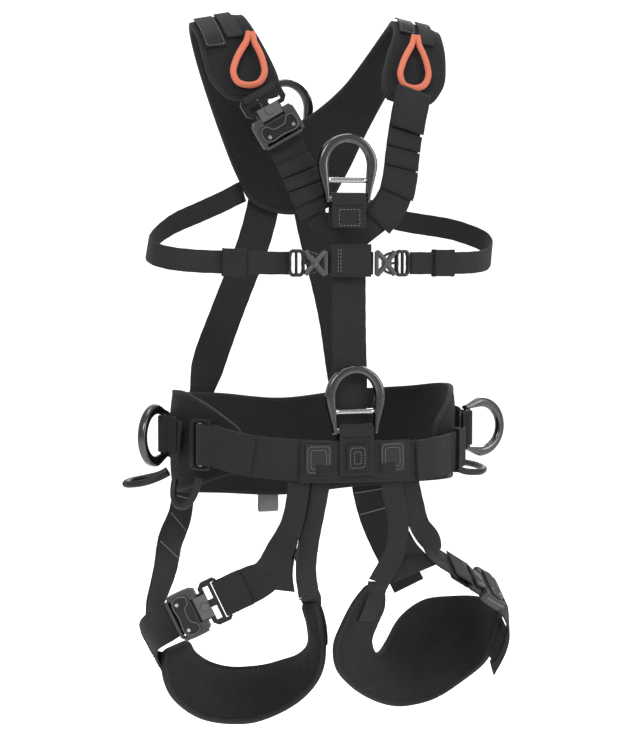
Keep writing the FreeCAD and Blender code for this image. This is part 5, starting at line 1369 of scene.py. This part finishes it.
def horseshoe(name, foot, bar_drop, place, cross_drop=None):
    """Ring in local XZ, narrowing towards its feet, with a base bar and perhaps a crossbar."""
    shoulder_z, steps = -6.5, 16
    foot_outer, flare_outer = 25.6, 8.9         # half widths at the foot, growth up to the arc
    foot_inner, flare_inner = 21.5, 1.9
    outer_radius, inner_radius = foot_outer + flare_outer, foot_inner + flare_inner
    inner_rise, half_depth = 25.5, 4.75
    leg = []
    for k in range(steps):
        q = k / steps
        z = -foot + (shoulder_z + foot) * q
        ease = q * q * (3 - 2 * q)
        leg.append(((-(foot_outer + flare_outer * (0.45 * q + 0.55 * ease)), z),
                    (-(foot_inner + flare_inner * q), z)))
    pairs = list(leg)
    for k in range(49):
        angle = math.pi - math.pi * k / 48
        x, z = math.cos(angle), math.sin(angle)
        pairs.append(((outer_radius * x, shoulder_z + outer_radius * z),
                      (inner_radius * x, shoulder_z + inner_rise * z)))
    pairs += [((-a[0], a[1]), (-b[0], b[1])) for a, b in reversed(leg)]
    rows, uvs = [], []
    for (a, b), station in zip(pairs, run_lengths([pair[0] for pair in pairs])):
        centre_x, centre_z = (a[0] + b[0]) / 2, (a[1] + b[1]) / 2
        half_x, half_z = (a[0] - b[0]) / 2, (a[1] - b[1]) / 2
        row = []
        for j in range(28):
            angle = 2 * math.pi * j / 28
            u = signed_power(math.cos(angle), 0.62)
            v = signed_power(math.sin(angle), 0.62)
            row.append(place([centre_x + half_x * u, half_depth * v, centre_z + half_z * u]))
        rows.append(row)
        uvs.append([(float(j), station) for j in range(29)])
    build(name, loft(rows, uvs), "forged", name, name)

    def bar(suffix, half, z, radius, mat):
        tube(name + suffix, [place([x, 0, z]) for x in (-half, 0, half)], radius, mat, name,
             name, count=8, sides=24, depth_axis=(0.3, -0.7, 0.1))

    bar("_base_bar", 23.5, -bar_drop, RING_BAR_RADIUS, "forged")
    if cross_drop is not None:
        bar("_cross_bar", 24.5, -cross_drop, 3.0, "steel")


for name, cross_drop in (("ventral_ring", 22.5), ("sternal_ring", 22.5), ("dorsal_ring", None)):
    horseshoe(name, UPRIGHT_FOOT, RING_BAR_DROP,
              placer(RING_CENTRES[name], X_AXIS, Y_AXIS, Z_AXIS), cross_drop)
for side, angle, height, swing, lift in HIP_RINGS:
    seat, out = hip_point(angle, lift + HIP_BAR_OFF, height)
    turn = math.radians(swing)
    away = [out[0] * math.cos(turn) - out[1] * math.sin(turn),
            out[0] * math.sin(turn) + out[1] * math.cos(turn), 0.0]
    horseshoe("lateral_ring_" + side, HIP_FOOT, HIP_BAR_DROP,
              placer(add(seat, away, HIP_BAR_DROP), Z_AXIS, cross(away, Z_AXIS), away))

# ---- chest side-release buckles ----------------------------------------------------------------
# side, origin, along, out
CHEST_BUCKLES = [
    ("left", [-48.5, 24.6, 139.2], [-0.988, 0.156, 0.0], [-0.156, -0.988, 0.0]),
    ("right", [56.0, 24.6, 138.6], [0.988, 0.156, 0.0], [0.156, -0.988, 0.0])]
# x, y along one limb of the socket's cross, on each side of its hub
SOCKET_LIMBS = [
    [(0, -10.5), (4.5, -13.6), (9.0, -18.2), (12.6, -22.4)],
    [(0, -9.5), (4.5, -6.4), (9.0, -2.4), (12.6, 0.2)]]
# x, y round the plug's ladder frame; it ends on its first point
LADDER = [
    (0, 3), (9, 3), (12.4, 4.6), (13, 10), (12.4, 15.6), (9, 17.2), (0, 17.4), (-9, 17.2),
    (-12.4, 15.6), (-13, 10), (-12.4, 4.6), (-9, 3), (0, 3)]
PRONG = [(10.4, 3), (11.4, -3), (9.8, -9.5), (7.6, -13.4)]


def chest_socket(name, place):
    """Crossed limbs, open between them, with a hub and a bar for the strap."""
    grey = dict(mat="buckle_grey", node="chest_buckle_sockets")
    number = 0
    for limb in SOCKET_LIMBS:
        for sign in (1, -1):
            number += 1
            rod("%s_limb_%d" % (name, number), place, [[sign * x, y, 0] for x, y in limb], 2.9,
                squeeze=1.42, **grey)
    rod(name + "_hub", place, [[0, -10, -4.2], [0, -10, 0], [0, -10, 4.3]], 4.4, count=8,
        sides=24, **grey)
    rod(name + "_strap_bar", place, [[-12.8, -22.6, 0], [0, -22.8, 0], [12.8, -22.6, 0]], 2.3,
        squeeze=1.2, **grey)


def chest_plug(name, place):
    """Ladder frame with its bar, two prongs and a guide between them."""
    black = dict(mat="plastic", body=name, node=name)
    rod(name + "_ladder_frame", place, [[x, y, 0] for x, y in LADDER], 2.0, squeeze=1.7,
        count=72, closed=True, **black)
    rod(name + "_ladder_bar", place, [[x, 10.3, 0] for x in (-12.6, 0, 12.6)], 1.6, squeeze=1.5,
        count=8, **black)
    for number, sign in ((1, 1), (2, -1)):
        rod("%s_prong_%d" % (name, number), place, [[sign * x, y, 0] for x, y in PRONG], 1.5,
            squeeze=1.2, **black)
    rod(name + "_guide", place, [[0, y, 0] for y in (3, -1.5, -5.0)], 1.5, count=8, **black)


for side, origin, along, out in CHEST_BUCKLES:
    place = local_axes(origin, along, out)[0]
    chest_socket("chest_socket_" + side, place)
    chest_plug("chest_plug_" + side, place)

# ---- hip adjuster ------------------------------------------------------------------------------
ADJUSTER = ([-156.724, 62.768, -59.2], [-0.588, 0.809, 0.0], [-0.809, -0.588, 0.0])
dress("hip_adjuster_frame", "plate")
place = local_axes(*ADJUSTER)[0]
for number, (y, radius) in enumerate(((-11.6, 1.9), (10.6, 1.9), (13.2, 1.2)), 1):
    rail = ((-24.5, 0.6), (-12, 1.0), (0, 1.1), (12, 1.0), (24.5, 0.6))
    rod("hip_adjuster_rail_%d" % number, place, [[x, y, z] for x, z in rail], radius, "frame",
        count=24)
for number, sign in ((1, 1), (2, -1)):
    cheek = ((25.4, -13, 0.8), (26.6, -6, 1.4), (26.8, 2, 1.4), (25.6, 11, 0.8))
    rod("hip_adjuster_cheek_%d" % number, place, [[sign * x, y, z] for x, y, z in cheek], 1.7,
        "frame", count=20)
dress("hip_adjuster_bar", "steel")

# ---- keepers -----------------------------------------------------------------------------------
KEEPER_DEPTH, KEEPER_WALL = 9.0, 1.4
# side, centre, along, out
CHEST_KEEPERS = [
    ("left", [-124.2, 42.95, 140.05], [-0.983, 0.179, 0.027], [-0.191, -0.982, 0.0]),
    ("right", [121.85, 40.5, 138.3], [0.985, 0.173, -0.008], [0.208, -0.978, 0.0])]
BELT_KEEPER = ([140.4, 42.2, -73.5], [0.559, 0.829, 0.0], [0.829, -0.559, 0.0])


def keeper_mesh(name, axes, width, length, mat, body):
    """A soft rectangular band round a strap, lipped at its ends."""
    place = local_axes(*axes)[0]
    steps, sides = 18, 44

    def section(grow):
        points = []
        for j in range(sides):
            angle = 2 * math.pi * j / sides
            points.append(((width / 2 + grow) * signed_power(math.cos(angle), 0.28),
                           (KEEPER_DEPTH / 2 + grow) * signed_power(math.sin(angle), 0.28)))
        return points

    outer, inner, uvs = [], [], []
    for i in range(steps + 1):
        y = -length / 2 + length * i / steps
        profile = section(0.35 if abs(y) > length / 2 - 1.6 else 0.0)
        outer.append([place([x, y, z]) for x, z in profile])
        inner.append([place([x, y, z]) for x, z in section(-KEEPER_WALL)])
        runs = run_lengths(profile)
        uvs.append([(run, y) for run in runs + [runs[-1] + 1.5]])
    build(name, closed_loft(outer + inner[::-1], uvs + uvs[::-1] + [uvs[0]]), mat, body, name)


for side, *axes in CHEST_KEEPERS:
    keeper_mesh("chest_keeper_" + side, axes, 30.0, 26.0, "web_soft", "chest_keeper_" + side)
keeper_mesh("belt_keeper_right", BELT_KEEPER, 50.0, 11.0, "elastic", ROOT)

# ---- loops on the shoulders and hips -----------------------------------------------------------
# x, y, z along each cord
LANYARDS = {
    "left": [
        [-98, 80.272, 380.4], [-104.98, 77.495, 370.88], [-111.83, 73.9, 358.98],
        [-115.78, 70.112, 347.08], [-112.308, 66.318, 336.608], [-100.4, 64.232, 332.8],
        [-87.308, 64.66, 336.608], [-80.58, 67.777, 347.08], [-80.83, 71.844, 358.98],
        [-83.98, 76.102, 370.88], [-88, 79.609, 380.4]],
    "right": [
        [99.9, 81.509, 383.5], [92.56, 77.643, 373.7], [85.26, 72.935, 361.45],
        [80.86, 68.421, 349.2], [83.936, 64.912, 338.42], [95.7, 64.347, 334.5],
        [108.936, 66.581, 338.42], [116.06, 70.771, 349.2], [116.26, 75.005, 361.45],
        [113.56, 79.045, 373.7], [109.9, 82.177, 383.5]],
}
GEAR_LOOPS = [
    [[-175.9, 123.5, -96], [-184, 128, -101], [-201.7, 136.6, -108], [-214.1, 150.5, -111],
     [-213.2, 170.5, -112], [-201.2, 186.8, -111], [-183.9, 191.4, -109],
     [-167.1, 184.3, -104], [-159.9, 182.6, -100]],
    [[-156.7, 69.7, -97], [-159.5, 69.3, -107], [-164.1, 70.7, -119], [-170.4, 77.2, -128],
     [-175.4, 87.4, -129], [-177.5, 97.1, -121], [-176, 102.6, -110], [-173.9, 104.4, -101]],
    [[151.9, 64.2, -98], [159.7, 64.4, -101], [177.3, 65.3, -103], [193.1, 82.9, -103],
     [202.9, 133.8, -102], [192.1, 172.7, -102], [176.7, 183.9, -102], [160.7, 183.1, -102],
     [157.7, 184, -102]]]
ACCESSORY = [-14.0, 253.0, -160.0]


def lanyard_loop(side):
    """A flattened cord loop whose two ends run on upwards, side by side."""
    name, points = "lanyard_loop_" + side, LANYARDS[side]
    facing_out = unit(cross(sub(points[5], points[0]), sub(points[3], points[7])))
    if facing_out[1] > 0:
        facing_out = scaled(facing_out, -1)
    cord = dict(mat="coral", body=name, slot="coral_cord", sides=16, squeeze=0.72,
                depth_axis=facing_out)
    tube(name, points, 3.7, node=name, count=110, **cord)
    top = [(a + b) / 2 for a, b in zip(points[0], points[-1])]
    up = unit(sub(top, points[5]))
    apart = unit(sub(points[-1], points[0]))
    for label, sign, end, before in (("outer", -1, points[0], points[1]),
                                     ("inner", 1, points[-1], points[-2])):
        middle = add(add(top, up, 6.0), apart, sign * 3.4)
        tip = add(add(top, up, 13.0), apart, sign * 2.0)
        tube("%s_%s_end" % (name, label), [before, end, middle, tip], 3.5, count=30, **cord)


for side in SIDES:
    lanyard_loop(side)
for number, points in enumerate(GEAR_LOOPS, 1):
    tube("gear_loop_%d" % number, points, 3.8, "rubber", node="gear_loops", slot="black_rubber",
         count=120, sides=16)

# hanging loop at the back, its closed end down
band = folded_band(1.8 + 0.6 + WEB / 2, (36, 36), 24.0, ACCESSORY,
                   ([1, 0, 0], [0, -1, 0], [0, 0, -1]))
band_mesh("accessory_loop", band, "web_grey", node="accessory_loop",
          wave=0.1)
for inset in (6, 9):
    for station in (inset, band.length - inset):
        cross_seam(sewing("accessory_loop", "thread"), band, station, half=10)


def ring_holder(side, angle, height, lift):
    """Strap lying on the hip that rises over the base bar of the lateral ring."""
    centre, out = hip_point(angle, 0.0, height)
    sideways = [-out[1], out[0], 0.0]
    azimuth = math.degrees(math.atan2(out[0], -out[1]))
    flat, rise = lift + 2.6, lift + HIP_BAR_OFF
    # offset along the hip, height off it, turn of the face
    profile = [(-18.0, flat, 0), (-13.0, flat, 0), (-9.6, flat + 0.5, -25),
               (-6.4, flat + 2.4, -65)]
    for k in range(7):
        turn = math.radians(180 - 30 * k)
        profile.append((RING_LOOP_RADIUS * math.cos(turn),
                        rise + RING_LOOP_RADIUS * math.sin(turn), 90 - math.degrees(turn)))
    profile += [(-offset, off, -turn) for offset, off, turn in reversed(profile[:4])]
    path = [add(add(centre, sideways, offset), out, off) + [azimuth + turn, 0.0]
            for offset, off, turn in profile]
    band = path_band(path, WIDE, 70)
    band_mesh("ring_holder_" + side, band, "web_soft", node="ring_holders", wave=0.02)
    for station in (3.5, band.length - 3.5):
        bar_tack(sewing("ring_holders"), band, station, half=17, depth=2.2, pitch=1.4)


for side, angle, height, _, lift in HIP_RINGS:
    ring_holder(side, angle, height, lift)

# ---- labels and elastic bands on the yoke ------------------------------------------------------
# s start, s end, t start, t end, lift from the yoke's middle surface
LABELS = [(0.088, 0.15, 0.6, 0.97, -6.6), (0.885, 0.84, 0.03, 0.38, -6.6)]
LOOP_KEEPERS = [(0.1, 0.15, 0.24, 0.55, -7.4), (0.9, 0.85, 0.45, 0.76, -7.4)]
for side, area_on_yoke in zip(SIDES, LABELS):
    name = "shoulder_label_" + side
    patch_mesh(name, yoke, *area_on_yoke, 0.9, "label", "shoulder_labels", LABEL_CLOTH)
    band = patch_band(yoke, *area_on_yoke)
    box_seam(sewing(name, "thread_mid"), band, 2.4, band.length - 2.4,
             half=band.frames[0].width / 2 - 2.4, lift=0.65)
for side, area_on_yoke in zip(SIDES, LOOP_KEEPERS):
    patch_mesh("lanyard_loop_keeper_" + side, yoke, *area_on_yoke, 1.8, "elastic",
               "lanyard_loop_keepers", WEBBING)

sew_all()

# ---- floor, light and camera, in metres --------------------------------------------------------
FLOOR_Z, FLOOR_FRONT, FLOOR_BACK, FLOOR_HALF_WIDTH = -0.62, -6.0, 3.0, 9.0
SWEEP_RADIUS, BACKDROP_TOP = 1.6, 6.0


def backdrop():
    """Paper floor that sweeps up into a wall behind the harness."""
    paper = Shader("backdrop_paper")
    surface = paper.surface.inputs
    paper.put(surface["Base Color"], (0.93, 0.93, 0.93, 1))
    paper.put(surface["Roughness"], 0.9)
    paper.put(surface["Emission Color"], (1, 1, 1, 1))
    seen = paper.add("ShaderNodeLightPath").outputs["Is Camera Ray"]
    paper.put(surface["Emission Strength"], paper.plus(paper.times(seen, 0.55), 0.10))
    profile = [(FLOOR_FRONT, FLOOR_Z), (FLOOR_BACK, FLOOR_Z)]
    for k in range(1, 13):
        angle = math.radians(90 * k / 12)
        profile.append((FLOOR_BACK + SWEEP_RADIUS * math.sin(angle),
                        FLOOR_Z + SWEEP_RADIUS * (1 - math.cos(angle))))
    profile.append((FLOOR_BACK + SWEEP_RADIUS, BACKDROP_TOP))
    verts = [(x, y, z) for y, z in profile for x in (-FLOOR_HALF_WIDTH, FLOOR_HALF_WIDTH)]
    faces = [(2 * k, 2 * k + 1, 2 * k + 3, 2 * k + 2) for k in range(len(profile) - 1)]
    mesh = bpy.data.meshes.new("floor")
    mesh.from_pydata(verts, [], faces)
    mesh.materials.append(paper.mat)
    mesh.polygons.foreach_set("use_smooth", [True] * len(mesh.polygons))
    obj = bpy.data.objects.new("floor", mesh)
    bpy.context.scene.collection.objects.link(obj)


def area_light(name, location, target, size, power):
    light = bpy.data.lights.new(name, "AREA")
    light.shape = "RECTANGLE"
    light.size, light.size_y = size
    light.energy = power
    obj = bpy.data.objects.new(name, light)
    bpy.context.scene.collection.objects.link(obj)
    obj.location = location
    obj.rotation_mode = "QUATERNION"
    aim = Vector(target) - Vector(location)
    obj.rotation_quaternion = aim.to_track_quat("-Z", "Y")


def add_camera(azimuth, elevation, location, lens):
    """Camera that looks the way given by azimuth, and down by elevation, in degrees."""
    camera = bpy.data.cameras.new("camera")
    camera.sensor_width = 36.0
    camera.lens = lens
    camera.clip_start, camera.clip_end = 0.05, 50.0
    obj = bpy.data.objects.new("camera", camera)
    bpy.context.scene.collection.objects.link(obj)
    turn, tilt = math.radians(azimuth), math.radians(elevation)
    forward = Vector((-math.sin(turn) * math.cos(tilt), math.cos(turn) * math.cos(tilt),
                      -math.sin(tilt)))
    right = Vector((math.cos(turn), math.sin(turn), 0.0))
    matrix = Matrix((right, right.cross(forward), -forward)).transposed().to_4x4()
    matrix.translation = Vector(location)
    obj.matrix_world = matrix
    bpy.context.scene.camera = obj


backdrop()
scene = bpy.context.scene
world = bpy.data.worlds.new("studio")
scene.world = world
world.use_nodes = True
background = world.node_tree.nodes["Background"]
background.inputs["Color"].default_value = (1, 1, 1, 1)
background.inputs["Strength"].default_value = 0.42

area_light("key", location=(-1.6, -2.2, 1.9), target=(0, 0.05, 0), size=(1.2, 1.2), power=42)
area_light("fill", location=(2.0, -1.8, 0.7), target=(0, 0.05, 0), size=(0.9, 1.5), power=20)
area_light("top", location=(0.1, 0.4, 2.4), target=(0, 0.1, 0), size=(1.4, 1.4), power=26)
area_light("rim", location=(1.4, 2.0, 1.2), target=(0, 0.1, 0), size=(0.9, 1.4), power=26)
scene.view_settings.view_transform = "Standard"
add_camera(azimuth=-20, elevation=4, location=(-0.79108, -2.02528, 0.16620), lens=95.2380952)
